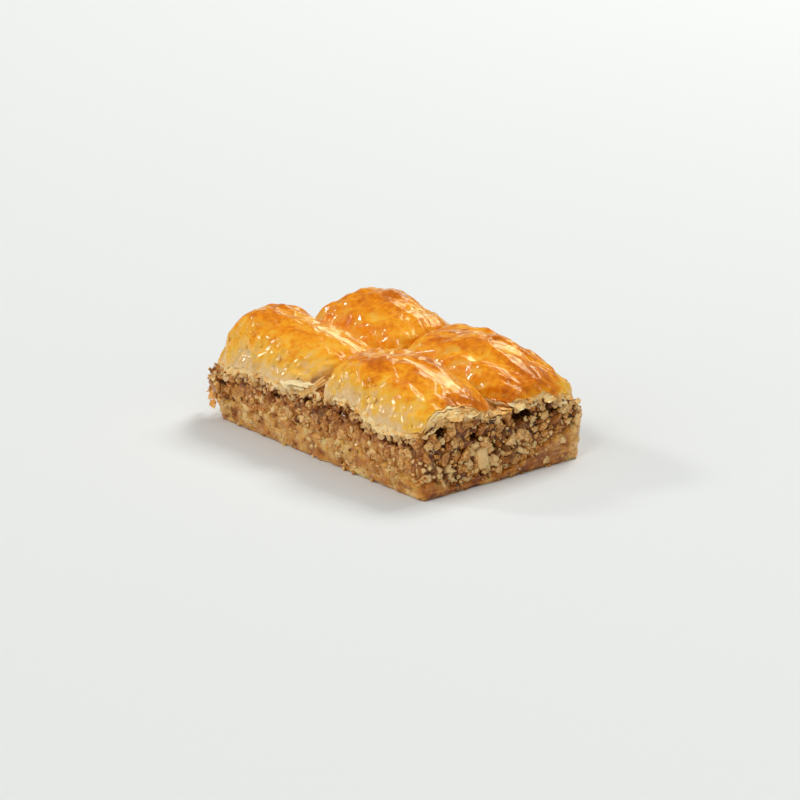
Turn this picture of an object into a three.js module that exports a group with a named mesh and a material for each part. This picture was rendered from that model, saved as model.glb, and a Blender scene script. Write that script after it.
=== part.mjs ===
// A block of walnut baklava: two pieces by two, still joined below the cuts.
// A slab of syrup-soaked pastry carries a layer of chopped nuts, and four puffed pastry tops, parted by
// two knife cuts, sit on the nuts. Millimetres, +Z up, X along the block, origin under its middle.
import * as THREE from "three";
import { mergeVertices } from "three/addons/utils/BufferGeometryUtils.js";

// ---- driving dimensions ----
const LENGTH = 98; // along X, at the foot
const WIDTH = 60.5; // along Y, at the foot
const FLARE = 1.1; // how far the nut layer leans out at its top, all round
const END_FLARE = 1.5; // and further at the -X end
const BASE_HEIGHT = 6.6; // bottom pastry
const NUT_HEIGHT = 18.2; // top of the nut layer at the cuts
const NUT_ARCH = 2.6; // how much higher it stands under the middle of each top
const LONG_SIDE_DROP = 3.2; // how far its shoulder falls along the two long sides
const CORNER_DROP = 2.4; // and further at the four corners
const SHOULDER = 6; // width of that shoulder
const CUT_WIDTH = 1.3; // gap between neighbouring tops at the foot of a cut
const OVERHANG = 0.4; // how far the tops stand past the nut layer
const RIM = 1.1; // thickness of a top at its edge
const CLEAR = 0.45; // gap between pieces that lie on each other

// One top for each quarter. crest is its highest point, and crestAlong and crestAcross say where that lies,
// from -1 to 1 over the piece. cutEnd is how high its ridge still stands where the cut ends it, as a share
// of its rise, endRound is how boxy its outer end is (2 is an ellipse), and lean is how much its ridge swings
// towards +Y.
const TOPS = [
  {
    name: "top_crust_left", along: -1, across: -1, seed: 11,
    crest: 36, crestAlong: -0.4, crestAcross: 0.05, cutEnd: 0.62, endRound: 2.4, lean: 0.05,
  },
  {
    name: "top_crust_front", along: 1, across: -1, seed: 23,
    crest: 33.4, crestAlong: -0.3, crestAcross: 0.15, cutEnd: 0.78, endRound: 2.4, lean: 0.1,
  },
  {
    name: "top_crust_right", along: 1, across: 1, seed: 37,
    crest: 34.6, crestAlong: -0.4, crestAcross: 0.1, cutEnd: 0.88, endRound: 2.3, lean: -0.06,
  },
  {
    name: "top_crust_back", along: -1, across: 1, seed: 51,
    crest: 37.9, crestAlong: 0.15, crestAcross: 0.05, cutEnd: 0.74, endRound: 2, lean: 0.04,
  },
];

const COLOURS = { base: 0xb98247, nuts: 0xa6825a, top: 0xe39a35 };

// ---- small helpers ----
const { clamp, lerp, smoothstep } = THREE.MathUtils;

// A repeatable number from 0 to 1 for a lattice point.
function hash(i, j, k) {
  const h = Math.sin(i * 127.1 + j * 311.7 + k * 74.7) * 43758.5453;
  return h - Math.floor(h);
}

// Smooth noise from -1 to 1 over the plane, another pattern for each seed.
function noise(x, y, seed) {
  const i = Math.floor(x);
  const j = Math.floor(y);
  const fx = smoothstep(x - i, 0, 1);
  const fy = smoothstep(y - j, 0, 1);
  const low = lerp(hash(i, j, seed), hash(i + 1, j, seed), fx);
  const high = lerp(hash(i, j + 1, seed), hash(i + 1, j + 1, seed), fx);
  return 2 * lerp(low, high, fy) - 1;
}

// How high an arch of exponent n stands at t, from 1 in the middle to 0 at -1 and 1.
const arch = (t, n) => Math.pow(Math.max(0, 1 - Math.pow(Math.abs(t), n)), 1 / n);

// ---- solids between an upper and a lower surface ----
// place(u, v, level) gives a point of the plan for u and v from -1 to 1, level being "top" or "under". top and
// under give heights there. The walls between them have `rings` steps, and wall(share, x, y) moves a wall
// point outwards, share running from 0 at the top to 1 at the bottom. flat names the levels closed flat.
function solidBetween({ columns, rows, place, top, under, rings = 1, wall, flat = [] }) {
  const points = [];
  const faces = [];
  const at = (i, n) => Math.sin((Math.PI / 2) * ((2 * i) / n - 1));
  const outline = [];
  for (let i = 0; i < columns; i++) outline.push([i, 0]);
  for (let j = 0; j < rows; j++) outline.push([columns, j]);
  for (let i = columns; i > 0; i--) outline.push([i, rows]);
  for (let j = rows; j > 0; j--) outline.push([0, j]);

  // A grid over the plan at the heights of one surface; returns the point numbers of its edge.
  function grid(height, level) {
    const first = points.length;
    const number = (i, j) => first + i * (rows + 1) + j;
    for (let i = 0; i <= columns; i++)
      for (let j = 0; j <= rows; j++) {
        const [x, y] = place(at(i, columns), at(j, rows), level);
        points.push([x, y, height(x, y, at(i, columns), at(j, rows))]);
      }
    for (let i = 0; i < columns; i++)
      for (let j = 0; j < rows; j++) {
        const corners = [number(i, j), number(i + 1, j), number(i + 1, j + 1), number(i, j + 1)];
        if (level === "under") corners.reverse();
        const [a, b, c, d] = corners;
        faces.push([a, b, c], [a, c, d]);
      }
    return outline.map(([i, j]) => number(i, j));
  }

  // The same edge closed flat, as a fan round the middle of the plan.
  function cap(height, level) {
    const first = points.length;
    const [x, y] = place(0, 0, level);
    points.push([x, y, height(x, y)]);
    for (const [i, j] of outline) {
      const [px, py] = place(at(i, columns), at(j, rows), level);
      points.push([px, py, height(px, py)]);
    }
    const edge = outline.map((_, k) => first + 1 + k);
    edge.forEach((a, k) => {
      const b = edge[(k + 1) % edge.length];
      faces.push(level === "top" ? [first, a, b] : [first, b, a]);
    });
    return edge;
  }

  const upper = (flat.includes("top") ? cap : grid)(top, "top");
  const lower = (flat.includes("under") ? cap : grid)(under, "under");
  let above = upper;
  for (let ring = 1; ring <= rings; ring++) {
    const share = ring / rings;
    const below =
      ring === rings
        ? lower
        : outline.map((_, k) => {
            const from = points[upper[k]];
            const to = points[lower[k]];
            const [x, y, z] = from.map((value, axis) => lerp(value, to[axis], share));
            const reach = 1 + wall(share, x, y) / Math.hypot(x, y);
            points.push([x * reach, y * reach, z]);
            return points.length - 1;
          });
    above.forEach((a, k) => {
      const next = (k + 1) % above.length;
      faces.push([a, below[k], below[next]], [a, below[next], above[next]]);
    });
    above = below;
  }

  const geometry = new THREE.BufferGeometry();
  geometry.setAttribute("position", new THREE.Float32BufferAttribute(points.flat(), 3));
  geometry.setIndex(faces.flat());
  return mergeVertices(geometry, 1e-4);
}

// A plan from low x, y to high x, y whose corners are pulled in by `round` of its half sizes.
const CORNER_SHARPNESS = 6;
function roundedPlan(low, high, round) {
  const half = low.map((l, axis) => (high[axis] - l) / 2);
  const pull = (t) => 1 - round * Math.pow(Math.abs(t), CORNER_SHARPNESS);
  return (u, v) => [low[0] + half[0] * (1 + u * pull(v)), low[1] + half[1] * (1 + v * pull(u))];
}

// The block's corners in plan, where it has leaned out by `share` of its flare and `more` besides.
function blockPlan(share, more = 0) {
  const x = LENGTH / 2 + share * FLARE + more;
  const y = WIDTH / 2 + share * FLARE + more;
  return [[-x - share * END_FLARE, -y], [x, y]];
}

// ---- the nut layer's uneven upper surface, on which the tops lie ----
function nutTop(x, y) {
  const acrossPiece = (2 * Math.abs(y)) / (WIDTH / 2) - 1;
  const alongPiece = clamp((2 * Math.abs(x)) / (LENGTH / 2) - 1, -1, 0);
  const fromLongSide = smoothstep(WIDTH / 2 + FLARE - Math.abs(y), 0, SHOULDER);
  const fromShortSide = smoothstep(LENGTH / 2 + FLARE - Math.abs(x), 0, 2 * SHOULDER);
  const raised = NUT_ARCH * arch(acrossPiece, 2) * arch(alongPiece, 3);
  const fallen = (1 - fromLongSide) * (LONG_SIDE_DROP + CORNER_DROP * (1 - fromShortSide));
  return NUT_HEIGHT + raised - fallen + 0.35 * noise(x / 9, y / 9, 5);
}

// ---- one puffed top ----
// In the piece's own u and v, from -1 to 1, a ridge runs along u. It rises from the rim to the crest, stays
// high where the cut ends it (u = cut side) and is rounded down at the block's outer end.
const FOLD_LENGTH = 6.5; // from one fold over the ridge to the next
const FOLD_DEPTH = 0.55;
const SWELL = 0.5; // uneven puffing
const CUT_ROUND = 7; // how boxy a ridge's end is at a cut
const ROUNDNESS = 2.2; // how boxy a top is across its ridge (2 is an ellipse)
const PLAN_ROUND = 0.07; // how far a top's plan corners are pulled in, as a share of its half sizes

function topCrust({ along, across, seed, crest, crestAlong, crestAcross, cutEnd, endRound, lean }) {
  const [low, high] = blockPlan(1, OVERHANG);
  const cut = CUT_WIDTH / 2;
  const place = roundedPlan(
    [along < 0 ? low[0] : cut, across < 0 ? low[1] : cut],
    [along < 0 ? -cut : high[0], across < 0 ? -cut : high[1]],
    PLAN_ROUND,
  );
  const under = (x, y) => nutTop(x, y) + CLEAR;

  const top = (x, y, u, v) => {
    const rim = under(x, y) + RIM;
    const pastCrest = u - crestAlong;
    const reach = pastCrest > 0 ? 1 - crestAlong : 1 + crestAlong;
    const cutSide = pastCrest * along < 0;
    const roundDown = arch(pastCrest / reach, cutSide ? CUT_ROUND : endRound);
    const ridge = cutSide ? roundDown * lerp(1, cutEnd, Math.abs(pastCrest / reach)) : roundDown;
    const ridgeLine = crestAcross + lean * u;
    const side = v - ridgeLine;
    const profile = arch(side / (side > 0 ? 1 - ridgeLine : 1 + ridgeLine), ROUNDNESS);
    const folds = FOLD_DEPTH * Math.sin((2 * Math.PI * (x + 0.35 * y)) / FOLD_LENGTH + seed);
    const swell = SWELL * noise(x / 7, y / 7, seed);
    const rise = crest - NUT_HEIGHT - NUT_ARCH - CLEAR - RIM;
    return rim + rise * ridge * profile + (folds + swell) * ridge * profile;
  };
  return solidBetween({ columns: 20, rows: 14, place, top, under });
}

// ---- the two layers below ----
const BLOCK_ROUND = 0.02; // how far the block's plan corners are pulled in

// Sheets of soaked pastry show as shallow steps round the bottom slab.
const LEAVES = 6;
const LEAF_STEP = 0.35;
const basePastry = solidBetween({
  columns: 30,
  rows: 18,
  place: roundedPlan(...blockPlan(0), BLOCK_ROUND),
  top: () => BASE_HEIGHT,
  under: () => 0,
  rings: LEAVES,
  wall: (share, x, y) =>
    LEAF_STEP * (Math.round(share * LEAVES) % 2 ? -1 : 0.2) + 0.25 * noise(x / 6, y / 6, 40 + share * LEAVES),
  flat: ["top", "under"],
});

// Chopped nuts give the middle layer a lumpy side.
const LUMP = 0.55;
const nutFilling = solidBetween({
  columns: 30,
  rows: 18,
  place: (u, v, level) => roundedPlan(...blockPlan(level === "top" ? 1 : 0), BLOCK_ROUND)(u, v),
  top: nutTop,
  under: () => BASE_HEIGHT + CLEAR,
  rings: 5,
  wall: (share, x, y) => LUMP * noise(x / 3.5, y / 3.5, 60 + 7 * share),
  flat: ["under"],
});

// ---- the block ----
const material = (color, roughness) => new THREE.MeshStandardMaterial({ color, roughness, metalness: 0 });

function piece(name, geometry, finish) {
  const mesh = new THREE.Mesh(geometry, finish);
  mesh.name = name;
  return mesh;
}

const baklava = new THREE.Group();
baklava.add(piece("base_pastry", basePastry, material(COLOURS.base, 0.35)));
baklava.add(piece("nut_filling", nutFilling, material(COLOURS.nuts, 0.7)));
for (const top of TOPS) baklava.add(piece(top.name, topCrust(top), material(COLOURS.top, 0.2)));

// The block's box is centred over the origin.
const box = new THREE.Box3().setFromObject(baklava);
const centre = box.getCenter(new THREE.Vector3());
baklava.position.set(-centre.x, -centre.y, -box.min.z);

export default baklava;
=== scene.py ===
# A block of walnut baklava, two pieces by two: four puffed, syrup-glazed tops parted by two knife cuts, a layer
# of chopped walnuts that shows at the sides, and a soaked pastry base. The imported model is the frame, and fine
# meshes stand for its six solids. Shapes are worked out in millimetres and stored in metres.
import itertools
import math

import bmesh
import bpy
import numpy as np
from mathutils import Matrix, Vector


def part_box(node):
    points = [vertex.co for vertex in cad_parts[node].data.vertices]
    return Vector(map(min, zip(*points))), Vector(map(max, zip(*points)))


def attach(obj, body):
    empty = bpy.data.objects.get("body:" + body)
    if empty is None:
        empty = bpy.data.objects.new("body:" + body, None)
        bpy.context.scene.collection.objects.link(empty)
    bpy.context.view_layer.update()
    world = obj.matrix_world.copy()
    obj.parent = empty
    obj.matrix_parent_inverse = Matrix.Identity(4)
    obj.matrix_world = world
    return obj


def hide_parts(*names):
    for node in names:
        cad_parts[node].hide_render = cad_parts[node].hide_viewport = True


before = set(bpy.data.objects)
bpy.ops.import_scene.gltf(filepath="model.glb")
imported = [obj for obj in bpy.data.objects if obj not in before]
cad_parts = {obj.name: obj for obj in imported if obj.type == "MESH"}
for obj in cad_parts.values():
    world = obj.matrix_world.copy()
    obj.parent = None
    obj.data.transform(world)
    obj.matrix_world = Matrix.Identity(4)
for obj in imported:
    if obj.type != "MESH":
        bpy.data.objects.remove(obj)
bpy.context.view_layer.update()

MM = 0.001

# ---- Driving sizes, in millimetres ----
GRID = 0.33  # step of the fine meshes over the tops
SIDE_GRID = 0.36  # step of the fine meshes round the sides

base_low, base_high = (np.array(corner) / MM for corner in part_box("base_pastry"))
CENTRE = (base_low + base_high)[:2] / 2
HALF = np.array([98.0, 60.5]) / 2  # the block at its foot
BASE_TOP = base_high[2]
CORNER = 2.5  # radius of the block's upright edges
FLARE_HEIGHT = 18.0  # the sides lean out up to this height
FLARE = 0.9  # by this much all round
END_FLARE = 1.5  # and further at the -X end
BULGE = 3.4  # how far the front left corner stands out over its foot
VALLEY = 22.0  # floor of the cuts where they cross

# The sides are front, right, back and left: -Y, +X, +Y and -X. Values for all four come in that order.
# Height of the seam between the nuts and the crust along each side, as (place along the side, height). Places
# run along +X or +Y from the block's middle.
SEAM = {
    "front": [(-51, 14.5), (-45, 15), (-34, 17.2), (-20, 16.8), (-6, 16.2), (0, 18), (6, 18.8), (15, 20),
              (21, 17.6), (30, 15.8), (42, 15.5), (50, 18.5)],
    "right": [(-31, 18.5), (-25, 21.2), (-15, 21.8), (-5, 18.8), (0, 19.6), (4, 20.6), (9, 20), (14, 20.4),
              (22, 18.6), (31, 15.5)],
    "back": [(-51, 15), (-40, 17.5), (-24, 16.6), (-8, 18.4), (0, 18), (10, 19.4), (24, 17), (38, 16.4),
             (50, 15.5)],
    "left": [(-31, 14.5), (-24, 18.8), (-14, 20.6), (-4, 19), (0, 18.8), (6, 20), (16, 21), (25, 18),
             (31, 15)],
}
# Height at which the soaked base gives way to the nuts, in the same way.
BASE_EDGE = {
    "front": [(-51, 6.4), (-40, 7.2), (-31, 6.0), (-20, 8.2), (-6, 8.8), (4, 6.8), (12, 8.6), (20, 8.6),
              (30, 6.4), (40, 5.6), (50, 3.6)],
    "right": [(-31, 4.2), (-20, 3.0), (-6, 2.6), (6, 3.2), (12, 5.2), (18, 8.5), (25, 9.8), (31, 9.0)],
    "back": [(-51, 5), (-36, 6.6), (-20, 5.4), (-4, 7.2), (12, 5.4), (28, 7.0), (42, 8.2), (50, 9.0)],
    "left": [(-31, 5), (-20, 6.2), (-6, 4.4), (8, 6.4), (20, 5.0), (31, 5)],
}


# ---- Numbers and noise. The last whole number that noise and its kin are given is a seed ----
def smooth(value, low=0.0, high=1.0):
    """0 below low, 1 above high, and an S curve between."""
    share = np.clip((value - low) / (high - low), 0, 1)
    return share * share * (3 - 2 * share)


def mix(low, high, share):
    return low + (high - low) * share


def hill(distance, width):
    """A smooth bump, 1 where the distance is 0."""
    return np.exp(-((distance / width) ** 2))


def arch(t, power):
    """How high an arch of that power stands at t, from 1 in the middle to 0 at -1 and 1."""
    return np.maximum(0, 1 - np.abs(t) ** power) ** (1 / power)


def stack(*axes):
    """Coordinates joined along a new last axis."""
    return np.stack(np.broadcast_arrays(*axes), -1)


WORD = np.uint64(0xFFFFFFFF)  # scatter mixes the bits of 32-bit words
MIXING = ((15, 0x2C1B3C6D), (12, 0x297A2D39), (15, 1))  # in rounds, each with a shift and a factor


def scatter(cells, seed):
    """A repeatable number from 0 to 1 for each lattice cell, given in the last axis."""
    word = np.full(cells.shape[:-1], (seed * 2654435761) & int(WORD), np.uint64)
    for axis in range(cells.shape[-1]):
        word = (word ^ (cells[..., axis].astype(np.uint64) * np.uint64(0x85EBCA6B + 0x3C6EF372 * axis))) & WORD
        for shift, factor in MIXING:
            word = ((word ^ (word >> np.uint64(shift))) * np.uint64(factor)) & WORD
    return word / 2.0**32


NOISE_GAIN = 1.7  # brings the noise to about -1 to 1


def noise(points, seed):
    """Smooth gradient noise of about -1 to 1, with features about 1 wide."""
    cell = np.floor(points).astype(np.int64)
    within = points - cell
    fade = within**3 * (within * (within * 6 - 15) + 10)
    total = np.zeros(points.shape[:-1])
    for corner in itertools.product((0, 1), repeat=points.shape[-1]):
        corner = np.array(corner)
        weight = np.prod(np.where(corner, fade, 1 - fade), axis=-1)
        for axis in range(points.shape[-1]):
            slope = 2 * scatter(cell + corner, seed + 101 * axis) - 1
            total += weight * slope * (within - corner)[..., axis]
    return NOISE_GAIN * total


def rough(points, seed):
    """Noise with finer and finer detail on it."""
    return sum(0.5**k * noise(points * 2**k, seed + 13 * k) for k in range(3))


def creases(points, seed, crispness=0.06):
    """Sharp ridges between shallow hollows: 1 on a ridge, falling to about 0."""
    return 1 - 1.3 * (np.sqrt(noise(points, seed) ** 2 + crispness**2) - crispness)


def seeds_near(points, seed):
    """The random seeds round each point: for each, its cell, the way from it and how far that is."""
    cell = np.floor(points).astype(np.int64)
    for step in itertools.product((-1, 0, 1), repeat=points.shape[-1]):
        at = cell + np.array(step)
        off = points - at - stack(*(scatter(at, seed + 7 * axis) for axis in range(points.shape[-1])))
        yield at, off, np.linalg.norm(off, axis=-1)


def nearest(points, seed):
    """Distance to the nearest of randomly scattered seeds, about one for each unit cell."""
    return np.minimum.reduce([far for _, _, far in seeds_near(points, seed)])


def plates(points, seed):
    """Small flat scales, each tilted its own way: height of about -1 to 1 with steps between, and a shade."""
    best, height, shade = np.inf, 0.0, 0.0
    for at, off, far in seeds_near(points, seed):
        tilts = stack(scatter(at, seed + 21), scatter(at, seed + 28)) - 0.5
        own = scatter(at, seed + 35) - 0.5
        height = np.where(far < best, 1.6 * (tilts * off).sum(axis=-1) + 0.7 * own, height)
        shade = np.where(far < best, own, shade)
        best = np.minimum(best, far)
    return height, shade


def turned(s, t, angle, width, length):
    """Coordinates for noise with features of that width and length, drawn out along a turned direction."""
    c, d = math.cos(math.radians(angle)), math.sin(math.radians(angle))
    return stack((s * c + t * d) / length, (t * c - s * d) / width)


# ---- Meshes ----
def quads(rows, columns, first=0, wrap=False):
    """Faces of a grid of rows x columns points; wrap joins its last column to its first."""
    i = np.arange(rows - 1)[:, None] * columns
    j = np.arange(columns if wrap else columns - 1)[None, :]
    right = (j + 1) % columns
    return first + np.stack([i + j, i + right, i + columns + right, i + columns + j], -1).reshape(-1, 4)


def band(ring, other):
    """Faces between two closed rings of point numbers."""
    return np.stack([ring, np.roll(ring, -1), np.roll(other, -1), other], -1)


def fan(ring, tip):
    """Triangles from a closed ring of point numbers to one more point."""
    return np.stack([ring, np.roll(ring, -1), np.full(len(ring), tip)], -1)


def rim_of(rows, columns):
    """Point numbers once round the edge of a grid."""
    grid = np.arange(rows * columns).reshape(rows, columns)
    return np.concatenate([grid[:-1, 0], grid[-1, :-1], grid[:0:-1, -1], grid[0, :0:-1]])


def closed_body(rings, columns):
    """Faces of stacked rings, followed by a point that closes the last ring and one that closes the first."""
    around, count = np.arange(columns), rings * columns
    ends = [fan(count - columns + around, count), fan(around, count + 1)[:, ::-1]]
    return [quads(rings, columns, wrap=True)] + ends


def flipped(faces, when=True):
    return [part[:, ::-1] for part in faces] if when else faces


def add_object(name, data):
    thing = bpy.data.objects.new(name, data)
    bpy.context.scene.collection.objects.link(thing)
    return thing


def make_piece(name, points, faces, values, material, replaces=(), sharp=None):
    """One mesh object, in metres, with a colour value for each point under each name in values."""
    mesh = bpy.data.meshes.new(name)
    mesh.from_pydata((points * MM).tolist(), [], [face for part in faces for face in np.asarray(part).tolist()])
    for key, value in values.items():
        mesh.attributes.new(key, "FLOAT", "POINT").data.foreach_set("value", np.asarray(value, np.float32))
    mesh.validate()
    mesh.shade_smooth()
    if sharp is not None:
        mesh.set_sharp_from_angle(angle=math.radians(sharp))
    mesh.materials.append(material)
    piece = add_object(name, mesh)
    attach(piece, "root")
    if replaces:
        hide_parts(*replaces)


# ---- Materials ----
def linear(colour):
    """A colour given as 0xRRGGBB, as the shader wants it."""
    channels = [((colour >> shift) & 255) / 255 for shift in (16, 8, 0)]
    return [c / 12.92 if c <= 0.04045 else ((c + 0.055) / 1.055) ** 2.4 for c in channels] + [1.0]


class Shader:
    """A Principled material and short ways to add nodes to it."""

    def __init__(self, name, **constants):
        self.material = bpy.data.materials.new(name)
        self.material.use_nodes = True
        self.tree = self.material.node_tree
        self.principled = self.tree.nodes["Principled BSDF"]
        self.set(**constants)

    def set(self, **sockets):
        for key, value in sockets.items():
            self.feed(self.principled.inputs[key.replace("_", " ")], value)
        return self.material

    def feed(self, socket, value):
        if isinstance(value, bpy.types.NodeSocket):
            self.tree.links.new(value, socket)
        else:
            socket.default_value = value

    def node(self, kind, settings, inputs):
        """A new node, with inputs by name or by number."""
        node = self.tree.nodes.new(kind)
        for key, value in settings.items():
            setattr(node, key, value)
        for key, value in inputs.items():
            self.feed(node.inputs[key], value)
        return node

    def value(self, name):
        return self.node("ShaderNodeAttribute", {"attribute_name": name}, {}).outputs["Fac"]

    def noise(self, per_mm, detail, stretch=(1, 1, 1)):
        """Noise over the object, with that many features to a millimetre."""
        place = self.node("ShaderNodeTexCoord", {}, {}).outputs["Object"]
        scale = [per_mm / MM * share for share in stretch]
        scaled = self.node("ShaderNodeMapping", {}, {"Vector": place, "Scale": scale})
        inputs = {"Vector": scaled.outputs[0], "Scale": 1.0, "Detail": detail, "Roughness": 0.55}
        return self.node("ShaderNodeTexNoise", {}, inputs).outputs["Fac"]

    def remap(self, value, low, high, to_low, to_high):
        inputs = dict(enumerate((value, low, high, to_low, to_high)))
        return self.node("ShaderNodeMapRange", {"clamp": True}, inputs).outputs[0]

    def spread(self, per_mm, detail, low, high, to_low, to_high, stretch=(1, 1, 1)):
        """Noise whose levels from low to high are spread over another range."""
        return self.remap(self.noise(per_mm, detail, stretch), low, high, to_low, to_high)

    def math(self, operation, first, second):
        return self.node("ShaderNodeMath", {"operation": operation}, {0: first, 1: second}).outputs[0]

    def total(self, first, *others):
        for other in others:
            first = self.math("ADD", first, other)
        return first

    def ramp(self, value, stops):
        """Colours along a value, as (place, 0xRRGGBB)."""
        node = self.node("ShaderNodeValToRGB", {}, {"Fac": value})
        marks = node.color_ramp.elements
        while len(marks) < len(stops):
            marks.new(0.5)
        for mark, (at, colour) in zip(marks, stops):
            mark.position = at
            mark.color = linear(colour)
        return node.outputs["Color"]

    def blend(self, share, first, second):
        settings = {"data_type": "RGBA", "blend_type": "MIX"}
        return self.node("ShaderNodeMix", settings, {0: share, 6: first, 7: second}).outputs[2]

    def bump(self, height, depth_mm, strength, under=None):
        inputs = {"Height": height, "Distance": depth_mm * MM, "Strength": strength}
        if under is not None:
            inputs["Normal"] = under
        return self.node("ShaderNodeBump", {}, inputs).outputs["Normal"]


def crust_material():
    """Baked pastry under syrup: cream where it stayed pale, gold, then orange and brown on the crests."""
    s = Shader("baked_crust", Subsurface_Weight=0.25, Subsurface_Radius=(0.9, 0.6, 0.25),
               Subsurface_Scale=0.0007, IOR=1.45, Coat_Roughness=0.05,
               Coat_IOR=1.42, Specular_IOR_Level=0.15)
    patches = s.spread(0.2, 3, 0.3, 0.7, -0.1, 0.1)
    streaks = s.spread(0.6, 5, 0.35, 0.65, -0.12, 0.12)
    specks = s.spread(1.7, 3, 0.35, 0.7, -0.03, 0.03)
    colour = s.ramp(s.total(s.value("browning"), patches, streaks, specks), [
        (0.0, 0xE4BC84), (0.15, 0xE9B66C), (0.32, 0xF0B84A), (0.5, 0xF5B02E), (0.68, 0xF09814),
        (0.84, 0xE17F08), (1.0, 0xC66604)])
    # The shade value darkens toward brown: painted shade on the glazed sheet's underside strip, deeper in under
    # its edge, and a darkening just above the nuts.
    colour = s.blend(s.remap(s.value("shade"), 0, 1, 0.0, 0.75), colour, linear(0x9A6228))
    wrinkles = s.bump(s.noise(0.8, 3, (1, 0.3, 1)), 0.11, 0.6)
    return s.set(Base_Color=colour, Roughness=s.spread(0.5, 4, 0.3, 0.7, 0.3, 0.5),
                 Coat_Weight=s.spread(0.35, 4, 0.35, 0.6, 0.35, 1.0),
                 Normal=s.bump(s.noise(2.4, 3), 0.02, 0.5, wrinkles))


def sheet_material():
    """Thin pastry sheets at a broken edge: pale, browned where they stick out."""
    s = Shader("pastry_sheets", Subsurface_Weight=0.12, Subsurface_Radius=(1.0, 0.75, 0.5),
               Subsurface_Scale=0.0004, IOR=1.45, Coat_Weight=0.8, Coat_Roughness=0.12,
               Coat_IOR=1.42, Specular_IOR_Level=0.25)
    baked = s.total(s.value("browning"), s.spread(0.6, 4, 0.3, 0.7, -0.25, 0.25))
    colour = s.ramp(baked, [(0.0, 0xFAE2AC), (0.3, 0xF9D088), (0.6, 0xF4B256), (1.0, 0xDA8E2C)])
    # The shade value darkens toward tan: painted shade on the sheets' lower faces; the shards and pastry crumbs
    # at the seam are darkened the same way.
    return s.set(Base_Color=s.blend(s.value("shade"), colour, linear(0xBC843C)),
                 Roughness=s.spread(1.2, 3, 0.3, 0.7, 0.3, 0.5), Normal=s.bump(s.noise(1.2, 3), 0.06, 0.5))


def nut_material():
    """Chopped walnuts: cream kernels with tan and brown skins, wet with syrup."""
    s = Shader("walnut_pieces", Subsurface_Weight=0.45, Subsurface_Radius=(0.9, 0.55, 0.25),
               Subsurface_Scale=0.0012, IOR=1.45, Coat_Weight=0.6, Coat_Roughness=0.1,
               Coat_IOR=1.4, Specular_IOR_Level=0.15)
    flesh = s.ramp(s.total(s.value("tone"), s.spread(1.6, 5, 0.3, 0.7, -0.3, 0.3)), [
        (0.0, 0xEFC88A), (0.25, 0xD4984E), (0.55, 0xA66222), (0.8, 0x7C4010), (1.0, 0x562A06)])
    skin = s.ramp(s.noise(1.1, 4), [(0.3, 0x5E3210), (0.55, 0x84501E), (0.75, 0xA4682E)])
    return s.set(Base_Color=s.blend(s.value("skin"), flesh, skin),
                 Roughness=s.spread(0.9, 3, 0.3, 0.7, 0.35, 0.6), Normal=s.bump(s.noise(1.2, 5), 0.16, 0.7))


def core_material():
    """What binds the nuts: ground walnut and syrup, mottled, with painted shade in hollows and between lumps,
    reddish and cream in places.
    """
    s = Shader("walnut_paste", Subsurface_Weight=0.35, Subsurface_Radius=(0.9, 0.5, 0.2),
               Subsurface_Scale=0.0014, IOR=1.45, Coat_Weight=0.7, Coat_Roughness=0.1,
               Coat_IOR=1.4, Specular_IOR_Level=0.2)
    colour = s.ramp(s.total(s.value("tone"), s.spread(0.8, 5, 0.3, 0.7, -0.22, 0.22)), [
        (0.0, 0xDCA658), (0.25, 0xC07E30), (0.5, 0x9C5816), (0.75, 0x743808), (1.0, 0x4A2204)])
    colour = s.blend(s.spread(0.5, 4, 0.58, 0.68, 0.0, 0.5), colour, linear(0x7E3A14))
    colour = s.blend(s.spread(0.9, 5, 0.55, 0.66, 0.0, 0.6), colour, linear(0xD8B272))
    return s.set(Base_Color=colour, Roughness=s.spread(1.5, 3, 0.3, 0.7, 0.3, 0.6),
                 Normal=s.bump(s.noise(1.6, 5), 0.15, 0.7))


def base_material():
    """Pastry sheets soaked into one dense honey-coloured mass, with faint layers and specks of nut."""
    s = Shader("soaked_base", Subsurface_Weight=0.8, Subsurface_Radius=(0.9, 0.5, 0.16),
               Subsurface_Scale=0.0032, IOR=1.45, Coat_Weight=0.8, Coat_Roughness=0.07,
               Coat_IOR=1.4, Specular_IOR_Level=0.15)
    layers = s.spread(0.16, 4, 0.3, 0.7, -0.08, 0.08, (1, 1, 7))
    mottle = s.spread(0.22, 6, 0.32, 0.68, -0.34, 0.34)
    colour = s.ramp(s.total(s.value("tone"), layers, mottle), [
        (0.0, 0xE6BE78), (0.3, 0xD29A46), (0.55, 0xB87226), (0.8, 0x8E480A), (1.0, 0x5E2C02)])
    colour = s.blend(s.spread(0.3, 4, 0.56, 0.66, 0.0, 0.45), colour, linear(0xD0852C))
    pale_where_light = s.remap(s.value("tone"), 0.3, 0.55, 1.0, 0.0)
    pale = s.math("MULTIPLY", s.spread(0.4, 4, 0.52, 0.7, 0.0, 0.5, (1, 1, 1.3)), pale_where_light)
    colour = s.blend(pale, colour, linear(0xE0BC7E))
    colour = s.blend(s.spread(0.9, 4, 0.58, 0.66, 0.0, 0.75), colour, linear(0x7E3C14))
    return s.set(Base_Color=colour, Roughness=s.spread(0.8, 3, 0.3, 0.7, 0.25, 0.45),
                 Normal=s.bump(s.noise(0.7, 3), 0.12, 0.6))


CRUST, PALE, NUTS, PASTE, SOAKED = (
    crust_material(), sheet_material(), nut_material(), core_material(), base_material())


# ---- The block's sides ----
OUTLINE_STEP = 0.05


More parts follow.
